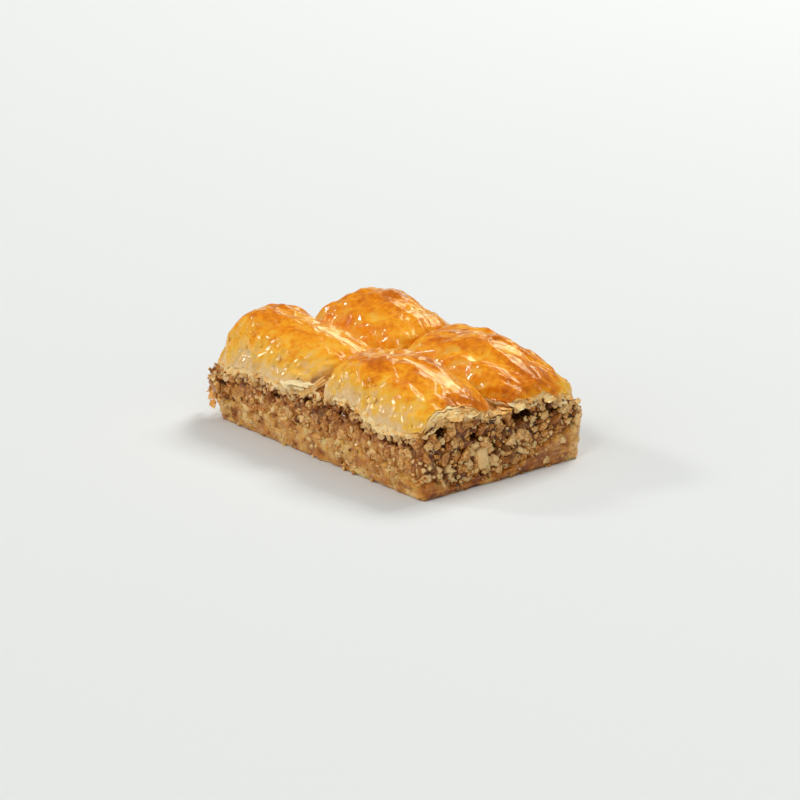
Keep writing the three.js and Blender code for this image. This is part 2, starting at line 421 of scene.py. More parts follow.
def trace_outline():
    """The foot's outline from its front left corner by +X: lengths, points, outward directions, girth."""
    heading, points = [], []
    here = np.array([-HALF[0] + CORNER, -HALF[1]])
    for turn, straight in enumerate((HALF[0], HALF[1], HALF[0], HALF[1])):
        for length, bend in ((2 * (straight - CORNER), 0.0), (CORNER * math.pi / 2, 1 / CORNER)):
            for k in range(round(length / OUTLINE_STEP)):
                angle = turn * math.pi / 2 + bend * (k + 0.5) * OUTLINE_STEP
                points.append(here)
                heading.append(angle)
                here = here + OUTLINE_STEP * np.array([math.cos(angle), math.sin(angle)])
    heading = np.array(heading)
    run = np.arange(len(points) + 1) * OUTLINE_STEP
    return run[:-1], np.array(points), stack(np.sin(heading), -np.cos(heading)), run[-1]


OUTLINE_RUN, OUTLINE, OUTLINE_OUT, GIRTH = trace_outline()


def outline(run):
    """Foot point and outward direction at each length along the outline."""
    run = np.mod(run, GIRTH)
    at, out = (stack(*(np.interp(run, OUTLINE_RUN, track[:, axis]) for axis in (0, 1)))
               for track in (OUTLINE, OUTLINE_OUT))
    return at, out / np.linalg.norm(out, axis=-1, keepdims=True)


def lean(at, out, z):
    """How far a side stands out at height z past its foot."""
    rise = np.clip(z / FLARE_HEIGHT, 0, 1.2)
    bulge = BULGE * hill(np.hypot(at[..., 0] + HALF[0], at[..., 1] + HALF[1]), 7) * hill(z - 12, 5)
    return FLARE * rise + END_FLARE * rise * np.maximum(0, -out[..., 0]) + bulge


def side_point(run, z, out_by):
    """A point on the block's side, out_by past its mean surface, in the frame."""
    at, out = outline(run)
    flat = at + out * (lean(at, out, z) + out_by)[..., None] + CENTRE
    return stack(flat[..., 0], flat[..., 1], z)


def run_at(side, along):
    """Length along the outline of a place on a side."""
    x, y = HALF
    goal = {"front": (along, -y), "right": (x, along), "back": (along, y), "left": (-x, along)}
    return OUTLINE_RUN[np.argmin(np.linalg.norm(OUTLINE - np.array(goal[side]), axis=1))]


def height_along(at, heights):
    """A height given along the four sides, above each point of the outline; points further in get a mean."""
    x, y = at[..., 0], at[..., 1]
    near = {"front": HALF[1] + y, "back": HALF[1] - y, "left": HALF[0] + x, "right": HALF[0] - x}
    total, weights = 0, 0
    for side, places in heights.items():
        weight = 1 / (np.maximum(near[side], 0) + 0.4) ** 3
        total = total + weight * np.interp(y if side in ("right", "left") else x, *np.transpose(places))
        weights = weights + weight
    return total / weights


def seam_height(at):
    """Height of the seam between nuts and crust, with ragged waves."""
    return height_along(at, SEAM) + 0.7 * noise(at / 3.3, 31) + 0.35 * noise(at / 1.3, 32)


def nuts_from(at):
    """Height at which the base gives way to the nuts, with waves."""
    return height_along(at, BASE_EDGE) + 1.5 * noise(at / 6, 61) + 0.8 * noise(at / 2.0, 62)


def by_side(run, values):
    """A value given for each side, running over from one to the next at the block's corners."""
    _, out = outline(run)
    weights = (-out[..., 1], out[..., 0], out[..., 1], -out[..., 0])
    return sum(np.maximum(weight, 0) ** 2 * value for weight, value in zip(weights, values))


def side_grid(rows, foot, top):
    """Places on the block's sides, from foot up to top: length along the outline, height, foot point, point."""
    run = np.linspace(0, GIRTH, int(GIRTH / SIDE_GRID), endpoint=False)
    z = mix(foot, top(outline(run)[0]), np.linspace(0, 1, rows)[:, None])
    run = np.broadcast_to(run, z.shape)
    at, _ = outline(run)
    return run, z, at, stack(at[..., 0], at[..., 1], z)


def drawn_in(ring, inset):
    """A ring drawn in toward the block's middle, by inset at its sides."""
    inner = ring.copy()
    inner[:, :2] = CENTRE + (ring[:, :2] - CENTRE) * np.maximum(1 - inset / HALF, 0.02)
    return inner


def from_corner(at, x_sign, y_sign):
    """Distance in plan from one of the block's corners."""
    return np.hypot(at[..., 0] - x_sign * HALF[0], at[..., 1] - y_sign * HALF[1])


# ---- The puffed tops: each a stack of thin pastry sheets, the outer one glazed ----
# In a top's own u and v, -1 is at the cuts and 1 at the block's sides.
# seed            of its folds and patches
# fold_angle      direction of its broad folds, in degrees from u
# ridge_at, lean  the crest's place in u and v, and how far the ridge swings in v along u
# cut_end         how high the ridge still stands at the cut, as a share of its rise
# end_power       how boxy the outer end is
# notch           how far the cuts gape at the block's sides
# drop            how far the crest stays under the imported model's
# pull            how far the top stays behind the block's end and long side
# creased, cracked, bare   how strong the broad folds, the cracks and the flaked patches are
# lip             a lip low on the long side: its place and half width in u, and how far it stands out
# flat            the flat band along the ridge: from and to in u, how far it lies beside the ridge at either,
#                 its half width, its tilt, and how free it is of folds
# end_back, cut_back   how far the glazed sheet is torn back at the end and the cut, as (v, millimetres)
TOPS = {
    "top_crust_left": dict(
        seed=11, fold_angle=6, ridge_at=(0.46, -0.05), lean=0.05, cut_end=0.56, end_power=2.5,
        notch=(2.8, 0.8), drop=0.5, pull=(2.4, 0.3), creased=1.0, cracked=0.25, bare=0.3,
        lip=(-0.78, 0.24, 2.2), flat=(-1.15, 0.04, -5.6, -2.6, 3.0, -0.12, 0.97),
        end_back=[(-1, 2.0), (0, 1.5), (1, 2.5)],
        cut_back=[(-1, 0.5), (0.1, 0.8), (0.5, 1.5), (0.8, 2.5), (1, 4.0)],
    ),
    "top_crust_front": dict(
        seed=23, fold_angle=10, ridge_at=(-0.3, -0.2), lean=-0.12, cut_end=0.78, end_power=1.6,
        notch=(2.6, 1.6), drop=0.5, pull=(0.2, 0.2), creased=1.0, cracked=0.35, bare=0.3, lip=(0.9, 0.2, 0.0),
        flat=(-0.15, 0.82, 1.5, 0.2, 2.7, 0.0, 0.88), cut_back=[(-1, 0.5), (0.5, 0.8), (1, 2.0)],
        end_back=[(-1, 6), (-0.85, 2.0), (-0.6, 0.8), (-0.2, 2.0), (0.3, 4.2), (0.8, 3.5), (1, 1.5)],
    ),
    "top_crust_right": dict(
        seed=37, fold_angle=24, ridge_at=(-0.35, 0.1), lean=-0.06, cut_end=0.88, end_power=1.95,
        notch=(1.2, 0.6), drop=0.9, pull=(0.8, 2.4), creased=1.0, cracked=0.35, bare=0.6, lip=(0.5, 0.4, 1.5),
        flat=(0.0, 0.9, -2.0, -2.4, 3.4, -0.08, 0.72), cut_back=[(-1, 0.5), (0.5, 0.8), (1, 3.0)],
        end_back=[(-1, 2.0), (-0.5, 0.8), (0.2, 0.8), (0.7, 1.8), (1, 3.5)],
    ),
    "top_crust_back": dict(
        seed=51, fold_angle=20, ridge_at=(-0.02, 0.05), lean=-0.04, cut_end=0.7, end_power=2.1,
        notch=(2.0, 1.0), drop=0.6, pull=(3.2, 1.0), creased=0.6, cracked=0.2, bare=0.3, lip=(-0.6, 0.3, 2.5),
        flat=(-0.95, -0.2, -2.0, -1.5, 2.4, 0.0, 0.4), cut_back=[(-1, 0.5), (0.3, 0.8), (1, 4.0)],
        end_back=[(-1, 2.5), (-0.3, 1.5), (0.3, 3.0), (1, 2.0)],
    ),
}
# Creases of the glazed sheet: how high in millimetres, the direction, width and length of one, how crisp it is,
# and the level that leaves the sheet where it is. The broad ones take their direction from the top.
CREASES = {
    "broad": (1.35, None, 8, 22, 0.06, 0.66),
    "facets": (-0.8, -40, 7, 13, 0.22, 0.66),
    "small": (0.45, 48, 3.6, 8, 0.05, 0.6),
    "drape": (0.7, 60, 4.5, 14, 0.04, 0.62),
    "fine": (0.12, 68, 1.7, 5.5, 0.08, 0.6),
}
CUT_POWER = 7  # how boxy the tops are at the cuts
ACROSS_POWER = 2.1  # and in v
PLAN_ROUND = 0.06  # how far their corners are drawn in, as a share
SHEETS = 5  # thin sheets that show under the glazed one
GLAZED_THICK = 0.22
SHEET_THICK = 0.16
SHEET_GAP = 0.14  # from one sheet to the next, where they lie close
BAND_LONG, BAND_SHORT, BAND_CUT = 0.9, 1.7, 0.8  # how far the sheets fan out at the sides and cuts
SIDE_BACK, CUT_SIDE_BACK = 1.3, 0.8  # how far the glazed sheet is torn back at the long side and its cut
# Browning of the glazed sheet by its height, from the seam at 0 to the crest at 1: toward the cuts and +X, and
# down the other sides.
GOLDEN = ((0.0, 0.3, 0.6, 1.0), (0.48, 0.6, 0.7, 0.82))
PALE_BELOW = ((0.0, 0.2, 0.42, 0.62, 0.85, 1.0), (0.12, 0.06, 0.3, 0.56, 0.76, 0.86))
SCALE_HEIGHT, SCALE_SHADE = 0.34, 0.22  # of the scales low on the tops
STRIP_ROWS = (0.0, 0.35, 0.9, 1.8, 3.2, 5.0)  # places across a sheet's strip, in from its edge


def even_steps(height, half_length):
    """Values from -1 to 1 along a curve, and the length along it at each."""
    t = np.sin(np.linspace(-math.pi / 2, math.pi / 2, 4001))
    run = np.concatenate([[0], np.cumsum(np.hypot(np.diff(t) * half_length, np.diff(height(t))))])
    return t, run


class Top:
    """One top. Its u and v are shares, its s and t the same in millimetres along the crust from the cuts."""

    def __init__(self, name, shape):
        low, high = (np.array(corner) / MM - [*CENTRE, 0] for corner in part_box(name))
        self.name = name
        for key, value in shape.items():
            setattr(self, key, value)
        self.middle, self.half = (high + low)[:2] / 2, (high - low)[:2] / 2
        self.sign = np.sign(self.middle)
        self.mirrored = self.sign[0] * self.sign[1] < 0
        self.crest = high[2] - self.drop
        rise = self.crest - VALLEY
        self.u_places, self.u_runs = even_steps(lambda u: rise * self.ridge(u), self.half[0])
        self.v_places, self.v_runs = even_steps(lambda v: rise * self.profile(0.0, v), self.half[1])
        self.long, self.wide = self.u_runs[-1], self.v_runs[-1]

    def shares(self, s, t):
        return np.interp(s, self.u_runs, self.u_places), np.interp(t, self.v_runs, self.v_places)

    def ridge(self, u):
        """Height of the ridge, as a share of its rise."""
        past = u - self.ridge_at[0]
        share = np.abs(past) / np.where(past < 0, 1 + self.ridge_at[0], 1 - self.ridge_at[0])
        share = np.minimum(share, 1)
        at_cut = arch(share, CUT_POWER) * mix(1, self.cut_end, share)
        return np.where(past < 0, at_cut, arch(share, self.end_power))

    def profile(self, u, v):
        """Height across the top, as a share of the ridge's."""
        line = self.ridge_at[1] + self.lean * u
        side = v - line
        return arch(np.minimum(1, np.abs(side) / np.where(side > 0, 1 - line, 1 + line)), ACROSS_POWER)

    def plan(self, u, v, inset):
        """Point of the plan, from the block's middle; inset pulls the whole plan in."""
        pulled = stack(u * (1 - PLAN_ROUND * np.abs(v) ** 6), v * (1 - PLAN_ROUND * np.abs(u) ** 6))
        pulled[..., 0] += self.notch[0] / self.half[0] * smooth(-u, 0.4, 1.0) * smooth(v, 0.2, 1.0)
        pulled[..., 1] += self.notch[1] / self.half[1] * smooth(-v, 0.4, 1.0) * smooth(u, 0.4, 1.0)
        pulled -= np.array(self.pull) / self.half * smooth(stack(u, v), 0.0, 1.0)
        return self.middle + self.sign * pulled * (self.half - inset)

    def seam(self, u, v):
        """Height of the seam under the top, from the block's sides in to where the cuts cross."""
        at = self.middle + self.sign * stack(u, v) * self.half
        toward = np.maximum((u + 1) / 2, (v + 1) / 2) ** 1.5
        at_end, at_side = (seam_height(stack(*place)) for place in (
            (self.sign[0] * HALF[0], at[..., 1]), (at[..., 0], self.sign[1] * HALF[1])))
        return mix(VALLEY, mix(at_end, at_side, smooth(v - u, -1.0, 1.0)), toward)

    def band(self, u, v):
        """How far apart the edges of the sheets are there, from the lowest to the glazed one."""
        to_end, to_side = smooth(u, 0.55, 1.0), smooth(v, 0.75, 1.0)
        short = (BAND_SHORT - BAND_CUT) * to_end * (1 - 0.5 * to_side)
        return BAND_CUT + short + (BAND_LONG - BAND_CUT) * to_side

    def place(self, sheet, s, t):
        """Where sheet number 0 (the glazed one) and up lies."""
        u, v = self.shares(s, t)
        low = self.seam(u, v) + self.band(u, v) * (1 - sheet / SHEETS)
        high = low + (self.crest - SHEET_GAP * sheet - low) * self.ridge(u) * self.profile(u, v)
        flat = self.plan(u, v, np.array([0.4, 1.0]) * SHEET_GAP * 0.8 * sheet) + CENTRE
        return stack(flat[..., 0], flat[..., 1], high)

    def outward(self, sheet, s, t):
        """The direction a sheet faces there."""
        step = 0.1
        along = self.place(sheet, s + step, t) - self.place(sheet, s - step, t)
        across = self.place(sheet, s, t + step) - self.place(sheet, s, t - step)
        normal = np.cross(along, across) * self.sign[0] * self.sign[1]
        return normal / np.maximum(np.linalg.norm(normal, axis=-1, keepdims=True), 1e-9)

    def torn(self, sheet, a, b):
        """Places along a sheet, for shares a and b of its length and width, with its edges torn back."""
        s, t = a * self.long, b * self.wide
        _, v = self.shares(s, t)
        left = 1 - sheet / SHEETS
        tears = []
        for side, where in enumerate((t, t, s, s)):
            own = sheet * 3.7 + 11.3 * side
            wide, middling, ragged = (noise(stack(where / size, own), self.seed + 20 + number)
                                      for number, size in enumerate((6.5, 2.3, 0.9)))
            tears.append((0.5 + 0.9 * left) * wide + 0.55 * middling + 0.25 * ragged)
        low_s = left * np.interp(v, *np.transpose(self.cut_back)) + 0.7 * tears[0] + 0.4
        high_s = left * np.interp(v, *np.transpose(self.end_back)) + 0.7 * tears[1] + 0.3
        low_t = left * CUT_SIDE_BACK + 0.7 * tears[2] + 0.4
        high_t = left * SIDE_BACK + 1.1 * tears[3] + 0.3
        low_s, high_s, low_t, high_t = (np.maximum(0.02, torn) for torn in (low_s, high_s, low_t, high_t))
        return low_s + (self.long - low_s - high_s) * a, low_t + (self.wide - low_t - high_t) * b

    def relief(self, s, t):
        """How far the pastry stands out or in there: folds, facets, drapes down the long side and wrinkles."""
        u, v = self.shares(s, t)
        here = stack(s, t)
        s = s + 1.6 * noise(here / 9, self.seed + 1)
        t = t + 1.6 * noise(here / 9, self.seed + 2)
        where = {
            "broad": self.creased, "facets": 1, "small": smooth(noise(here / 9, self.seed + 15), -0.3, 0.4),
            "drape": smooth(v, 0.25, 0.8), "fine": smooth(v, 0.35, 0.7),
        }
        total = 0.4 * noise(turned(s, t, 20, 9, 16), self.seed + 3)
        for number, (name, (height, angle, width, length, crispness, level)) in enumerate(CREASES.items()):
            angle = self.fold_angle if angle is None else angle
            crease = creases(turned(s, t, angle, width, length), self.seed + 4 + number, crispness)
            total = total + height * where[name] * (crease - level)
        total = total + SCALE_HEIGHT * self.flaky(u, v) * self.scales(s, t)[0]
        total = total + self.cracked * self.cracks(s, t)[0] - 0.25 * self.bared(here)
        middle, half_width, amount = self.lip
        lip = amount * hill(u - middle, half_width) * (smooth(v, 0.8, 0.9) - 1.3 * smooth(v, 0.93, 1.0))
        facet, flat, clean = self.ridge_facet(here)
        return total * (1 - clean) + lip + flat * facet - 0.1

    def ridge_facet(self, here):
        """The flat band along the ridge: what lays the arch flat, how much of it to use, and how calm it is."""
        start, end, beside_start, beside_end, half_width, tilt, clean = self.flat
        u = np.interp(here[..., 0], self.u_runs, self.u_places)
        share = np.clip((u - start) / (end - start), 0, 1)
        line = np.interp(self.ridge_at[1] + self.lean * u, self.v_places, self.v_runs)
        off = here[..., 1] - line - mix(beside_start, beside_end, share) + 0.6 * noise(here / 5, self.seed + 40)
        width = half_width * np.sqrt(4 * share * (1 - share)) + 0.01
        flat = (width > 0.5) * (1 - smooth(np.abs(off) / width, 0.75, 1.25))
        return off**2 / 32 + tilt * off - 0.1, flat, clean * flat

    def warped(self, here, size, amount, number):
        """Places moved about a little, so that what is laid out over them is ragged."""
        warp = stack(noise(here / size, self.seed + number), noise(here / size, self.seed + number + 1))
        moved = here + amount * warp
        return moved[..., 0], moved[..., 1]

    def bared(self, here):
        """Where the outermost sheet has flaked off and a paler one shows."""
        patch = noise(turned(*self.warped(here, 1.8, 0.9, 50), self.fold_angle, 4.2, 8.5), self.seed + 52)
        return self.bare * smooth(patch, 0.22, 0.32)

    def cracks(self, s, t):
        """The broad plates into which the glazed sheet cracks as it puffs up."""
        s, t = self.warped(stack(s, t), 3.5, 1.5, 26)
        return plates(turned(s, t, self.fold_angle + 15, 5.5, 13), self.seed + 28)

    def scales(self, s, t):
        """The small scales into which the glazed sheet breaks."""
        s, t = self.warped(stack(s, t), 1.6, 0.7, 16)
        return plates(turned(s, t, -15, 2.6, 4.2), self.seed + 18)

    def flaky(self, u, v):
        """Where it breaks into scales: low on the long side and at the outer end."""
        return np.maximum(smooth(v, 0.3, 0.65), 0.6 * smooth(u, 0.6, 0.9))

    def skin(self, sheet, s, t, out_by=0.0):
        """A point on a sheet with its folds, which lie flatter near its edges, out_by past its middle."""
        near = np.minimum(np.minimum(s, self.long - s), np.minimum(t, self.wide - t))
        push = self.relief(s, t) * mix(0.35, 1.0, smooth(near, 0.0, 4.0)) + out_by
        return self.place(sheet, s, t) + self.outward(sheet, s, t) * push[..., None]

    def browning(self, s, t, height):
        """How baked the glazed sheet is: deep on the crest, pale low down the long side and the -X end."""
        u, v = self.shares(s, t)
        seam = self.seam(u, v)
        up = (height - seam) / (self.crest - seam)
        patches = noise(turned(s, t, 35, 7, 11), self.seed + 30)
        patches = patches + 0.4 * noise(stack(s, t) / 3.5, self.seed + 31)
        runny = noise(turned(s, t, 85, 2.6, 11), self.seed + 32)
        pale = np.maximum(smooth(v, 0.1, 0.6), (self.sign[0] < 0) * smooth(u, 0.3, 0.9))
        level = mix(np.interp(up, *GOLDEN), np.interp(up, *PALE_BELOW), pale)
        level = level + 0.38 * (self.sign[0] > 0) * smooth(u, 0.5, 0.9) * (1 - 0.45 * smooth(v, 0.4, 0.9))
        level = level + SCALE_SHADE * self.flaky(u, v) * self.scales(s, t)[1]
        level = level + 0.3 * self.cracked * self.cracks(s, t)[1]
        level = level - 0.3 * (1 - 0.7 * pale) * self.bared(stack(s, t))
        return level + 0.17 * patches + 0.14 * pale * runny + 0.05 * self.relief(s, t)

    def soaked(self, s, t, height):
        """How far the glazed sheet is darkened just above the nuts, on the long side."""
        u, v = self.shares(s, t)
        above = height - self.seam(u, v) + 0.8 * noise(stack(s, t) / 2.4, self.seed + 33)
        return 0.55 * (1 - smooth(above, 0.2, 3.0)) * smooth(v, 0.3, 0.8)

    def ring_in(self, sheet, ring, inward):
        """Places along a sheet, that far in from its edge."""
        a, b = ring
        a = 0.5 + (a - 0.5) * (1 - 2 * inward / self.long)
        b = 0.5 + (b - 0.5) * (1 - 2 * inward / self.wide)
        return self.torn(sheet, a, b)

    def build_glazed(self):
        """The outer sheet: its upper face, its edge, and the strip of its underside that can be seen."""
        rows, columns = round(self.long / GRID), round(self.wide / GRID)
        a, b = np.meshgrid(np.linspace(0, 1, rows), np.linspace(0, 1, columns), indexing="ij")
        s, t = self.torn(0, a, b)
        upper = self.skin(0, s, t)
        rim = rim_of(rows, columns)
        ring = a.ravel()[rim], b.ravel()[rim]
        under = [self.skin(0, *self.ring_in(0, ring, inward), -GLAZED_THICK) for inward in STRIP_ROWS]
        tip = [*(self.middle + CENTRE), under[-1][:, 2].min() - 1.0]
        points = np.concatenate([upper.reshape(-1, 3)] + under + [[tip]])
        around, first = np.arange(len(rim)), rows * columns
        last = first + (len(under) - 1) * len(rim)
        strip = [quads(len(under), len(rim), first, wrap=True), fan(last + around, len(points) - 1)]
        faces = [quads(rows, columns), np.roll(band(first + around, rim), 1, axis=1)] + flipped(strip)
        edge = np.minimum(np.minimum(a, 1 - a) * self.long, np.minimum(b, 1 - b) * self.wide)
        # Paler along the torn edge: a painted highlight on the rim.
        browning = self.browning(s, t, upper[..., 2]) - 0.1 * hill(edge, 1.2)
        below = len(points) - first
        rows_in = np.minimum(np.arange(below) // len(rim), len(STRIP_ROWS))
        values = {
            "browning": np.concatenate([browning.ravel(), np.full(below, 0.2)]),
            # shade: a darkening just above the nuts on the upper face, and painted shade on the underside strip,
            # deeper row by row in under the edge.
            "shade": np.concatenate([self.soaked(s, t, upper[..., 2]).ravel(), 0.08 * rows_in]),
        }
        name = self.name.replace("top_crust", "glazed_top")
        make_piece(name, points, flipped(faces, self.mirrored), values, CRUST, [self.name])

    def edge_ring(self, step):
        """Places once round a sheet's edge, as shares of its length and width, in even steps."""
        counts = [round(self.long / step), round(self.wide / step)]
        a, b = (np.linspace(0, 1, count + 1) for count in counts)
        a_ring = np.concatenate([a[:-1], np.ones(counts[1]), a[:0:-1], np.zeros(counts[1])])
        b_ring = np.concatenate([np.zeros(counts[0]), b[:-1], np.ones(counts[0]), b[:0:-1]])
        return a_ring, b_ring

    def build_sheets(self):
        """The edges of the thinner sheets under the glazed one, each as a closed strip."""
        step = 1.35 * SIDE_GRID
        ring = self.edge_ring(step)
        count = len(ring[0])
        along, around = np.arange(count) * step, np.arange(count)
        points, faces, brown, shade = [], [], [], []
        for sheet in range(1, SHEETS + 1):
            wide, ragged, curled = (noise(stack(along / size, 4.1 * sheet), self.seed + 41 + number)
                                    for number, size in enumerate((4.2, 1.3, 3.6)))
            wave = 0.3 * wide + 0.12 * ragged
            curl = 0.9 * smooth(curled, 0.3, 0.65)
            upper, lower, tints = [], [], []
            for inward in STRIP_ROWS:
                s, t = self.ring_in(sheet, ring, inward)
                wrinkle = creases(turned(s, t, 75 - 14 * sheet, 1.7, 4.5), self.seed + 46 + sheet) - 0.6
                out_by = wave * hill(inward, 3.0) + curl * hill(inward, 0.9) - 0.04 * sheet + 0.14 * wrinkle
                out_by = out_by - 0.7 * smooth(inward, 1.2, 5.0)
                upper.append(self.skin(sheet, s, t, out_by))
                lower.append(self.skin(sheet, s, t, out_by - SHEET_THICK))
                tint = 0.12 + 0.3 * max(0, 1 - sheet / 2.5) + 0.05 * (inward - 2)
                tint = tint + 0.24 * smooth(s, self.long - 5, self.long - 1) * (self.sign[0] > 0)
                tint = tint + 0.2 * smooth(t, self.wide - 5, self.wide - 1)
                tint = tint + 0.2 * noise(turned(s, t, 30, 3.5, 6), self.seed + 44 + sheet)
                tint = tint + 0.18 * smooth(noise(turned(s, t, 70, 5, 9), self.seed + 60), 0.0, 0.5)
                tints.append(tint + 0.3 * curl * hill(inward, 0.5))
            rings = upper[::-1] + lower
            first = sum(len(part) for part in points)
            faces.append(quads(len(rings), count, first, wrap=True))
            faces.append(band(first + (len(rings) - 1) * count + around, first + around))
            points.append(np.concatenate(rings))
            brown.extend(tints[::-1] + tints)
            # Painted shade on the lower faces, deeper further in under the edge.
            dark = [0.0] * len(STRIP_ROWS) + [0.05 + 0.05 * k for k in range(len(STRIP_ROWS))]
            shade.append(np.repeat(dark, count))
        values = {"browning": np.concatenate(brown), "shade": np.concatenate(shade)}
        name = self.name.replace("top_crust", "sheet_edges")
        faces = flipped(faces, not self.mirrored)
        make_piece(name, np.concatenate(points), faces, values, PALE, sharp=50)


tops = [Top(name, shape) for name, shape in TOPS.items()]
for top in tops:
    top.build_glazed()
    top.build_sheets()

# ---- The nut layer: a core of ground nuts and syrup, with hollows ----
# Hollows under the crust and between the nuts, as (along, height, half width, half height, depth).
HOLLOWS = {
    "right": [(-24.5, 18.8, 4.2, 1.6, 4.2), (5.8, 18.2, 5.2, 1.8, 4.4), (-10.5, 15.7, 3.2, 1.2, 2.8),
              (-3.5, 11.0, 1.4, 1.6, 1.6), (18.5, 17.2, 2.6, 1.2, 2.0), (24.0, 13.5, 1.6, 1.0, 1.5)],
    "front": [(-29.0, 15.6, 1.6, 1.0, 1.6), (-19.0, 14.8, 2.4, 1.0, 1.8), (-3.6, 16.6, 1.8, 1.1, 2.4),
              (6.6, 13.0, 1.4, 0.8, 1.4), (22.0, 15.0, 2.2, 0.9, 1.8), (35.0, 14.2, 2.6, 1.0, 2.0),
              (-44.0, 12.8, 1.8, 1.0, 1.6), (12.0, 16.6, 1.6, 0.8, 1.6)],
    "left": [(-18.0, 17.0, 3.2, 1.4, 2.8), (3.0, 16.2, 2.6, 1.3, 2.4), (17.5, 17.4, 3.6, 1.6, 3.0),
             (-6.0, 12.0, 1.6, 1.2, 1.6)],
    "back": [(-36.0, 15.8, 2.2, 1.0, 1.8), (-14.0, 15.4, 2.6, 1.0, 1.8), (2.0, 16.2, 1.8, 1.2, 2.0),
             (19.0, 15.6, 2.4, 0.9, 1.8), (37.0, 14.4, 2.0, 1.0, 1.6)],
}


def on_outline(sides):
    """Things given for each side, each as its length along the outline and the rest of it."""
    return [(run_at(side, along), *rest) for side, things in sides.items() for along, *rest in things]


HOLLOWS_ROUND = on_outline(HOLLOWS)


def run_between(run, other):
    """How far one place on the outline lies past another, the shorter way round."""
    return np.mod(run - other + GIRTH / 2, GIRTH) - GIRTH / 2


def hollowness(run, z):
    """How deep in a hollow a place on the side lies: the hollow's depth there, and its share of it."""
    deep, share = np.zeros(np.shape(run)), np.zeros(np.shape(run))
    here = stack(run / 2.2, z / 1.6)
    run, z = run + 1.1 * noise(here, 78), z + 0.7 * noise(here, 79)
    for at, height, half_width, half_height, depth in HOLLOWS_ROUND:
        inside = np.exp(-(np.hypot(run_between(run, at) / half_width, (z - height) / half_height) ** 4))
        deep = np.maximum(deep, depth * inside)
        share = np.maximum(share, inside)
    return deep, share


# The core's foot, how far it stays behind the mean side, and how dark it is.
CORE_FOOT = 1.6
CORE_HEIGHT = 17  # about, from its foot to the seam
# Rings over the core's top, in from its sides.
CORE_TOP_ROWS = (0.4, 0.8, 1.2, 1.8, 2.4, 3.2, 4.0, 5.0, 6.2, 7.6, 9.2, 11, 13, 15.5, 18, 21, 24, 27, 29.5)
CORE_IN = (0.5, 0.8, 0.6, 0.8)
CORE_TONE = (0.14, 0.44, 0.14, 0.32)
LOOSENESS = (0.5, 1.0, 0.5, 0.9)  # how loose the nuts lie: craggy, with painted shade in the gaps, at 1, pressed together at 0


def build_core():
    run, z, at, solid = side_grid(int(CORE_HEIGHT / SIDE_GRID), CORE_FOOT, lambda at: seam_height(at) + 0.9)
    lumps, crumbs = nearest(solid / 3.2, 71), nearest(solid / 1.15, 72)
    deep, _ = hollowness(run, z)
    base_edge = nuts_from(at)
    loose = np.maximum(by_side(run, LOOSENESS), 0.9 * smooth(z, 10, 13.5))
    out_by = 1.9 * loose * (0.45 - lumps) + 0.7 * loose * (0.5 - crumbs) + 0.3 * rough(solid / 4.5, 73)
    out_by = out_by - by_side(run, CORE_IN) - deep - 1.5 * smooth(base_edge - z, 0.0, 1.8)
    side = side_point(run, z, out_by)
    # Darker between the lumps and crumbs where the nuts lie loose, and darker still in the hollows: painted
    # shade.
    tone = by_side(run, CORE_TONE) + loose * (0.34 * smooth(lumps, 0.3, 0.75) + 0.14 * smooth(crumbs, 0.3, 0.7))
    tone += 0.5 * smooth(deep, 0.2, 1.5) + 0.2 * noise(solid / 6, 74) + 0.24 * smooth(z - base_edge, 1, 9)
    rings, tones = [side.reshape(-1, 3)], [tone.ravel()]
    for inset in CORE_TOP_ROWS:
        ring = drawn_in(side[-1], inset)
        near = nearest(ring[:, :2] / 2.2, 75)
        bumps = 0.9 * (0.5 - near) + 0.4 * rough(ring[:, :2] / 1.3, 76)
        ring[:, 2] = mix(side[-1][:, 2], VALLEY - 0.9, min(1, inset / 9)) + bumps * min(1, inset)
        rings.append(ring)
        # Darker between the bumps of the top: painted shade.
        tones.append(0.3 + 0.35 * smooth(near, 0.3, 0.8))
    points = np.concatenate(rings + [[[*CENTRE, VALLEY - 1.6]], [[*CENTRE, CORE_FOOT]]])
    faces = closed_body(len(side) + len(CORE_TOP_ROWS), side.shape[1])
    values = {"tone": np.concatenate(tones + [[0.8, 0.8]])}
    make_piece("walnut_paste", points, faces, values, PASTE, ["nut_filling"])


build_core()


# ---- Chopped nuts ----
def ball(levels):
    """Points and triangles of a unit ball made from an icosahedron."""
    work = bmesh.new()
    bmesh.ops.create_icosphere(work, subdivisions=levels, radius=1.0)
    work.verts.index_update()
    points = np.array([point.co for point in work.verts])
    faces = np.array([[point.index for point in face.verts] for face in work.faces])
    work.free()
    return points, faces


def chunk_shapes(levels, kinds, cuts, seed):
    """Broken lumps of about unit size: a craggy ball, broken flat on several sides."""
    draw = np.random.default_rng(seed)
    unit, faces = ball(levels)
    shapes = []
    for kind in range(kinds):
        lobes = 0.42 * (0.62 - creases(unit * 1.9 + 5 * kind, seed + 3, 0.08))
        points = unit * (1 + 0.36 * rough(unit * 1.4 + 7 * kind, seed) + lobes)[:, None]
        for _ in range(cuts):
            normal = draw.normal(size=3)
            normal /= np.linalg.norm(normal)
            over = points @ normal - draw.uniform(0.4, 0.85)
            points = points - np.maximum(over, 0)[:, None] * normal
        points = points * (1 + 0.09 * noise(points * 3.1 + 3 * kind, seed + 5))[:, None]
        shapes.append(points)
    return np.array(shapes), faces


def blocky(levels):
    """A broken kernel with flat sides."""
    unit, _ = ball(levels)
    points = np.sign(unit) * np.abs(unit) ** 0.64
    return 0.92 * points * (1 + 0.2 * rough(unit * 1.8, 91))[:, None]


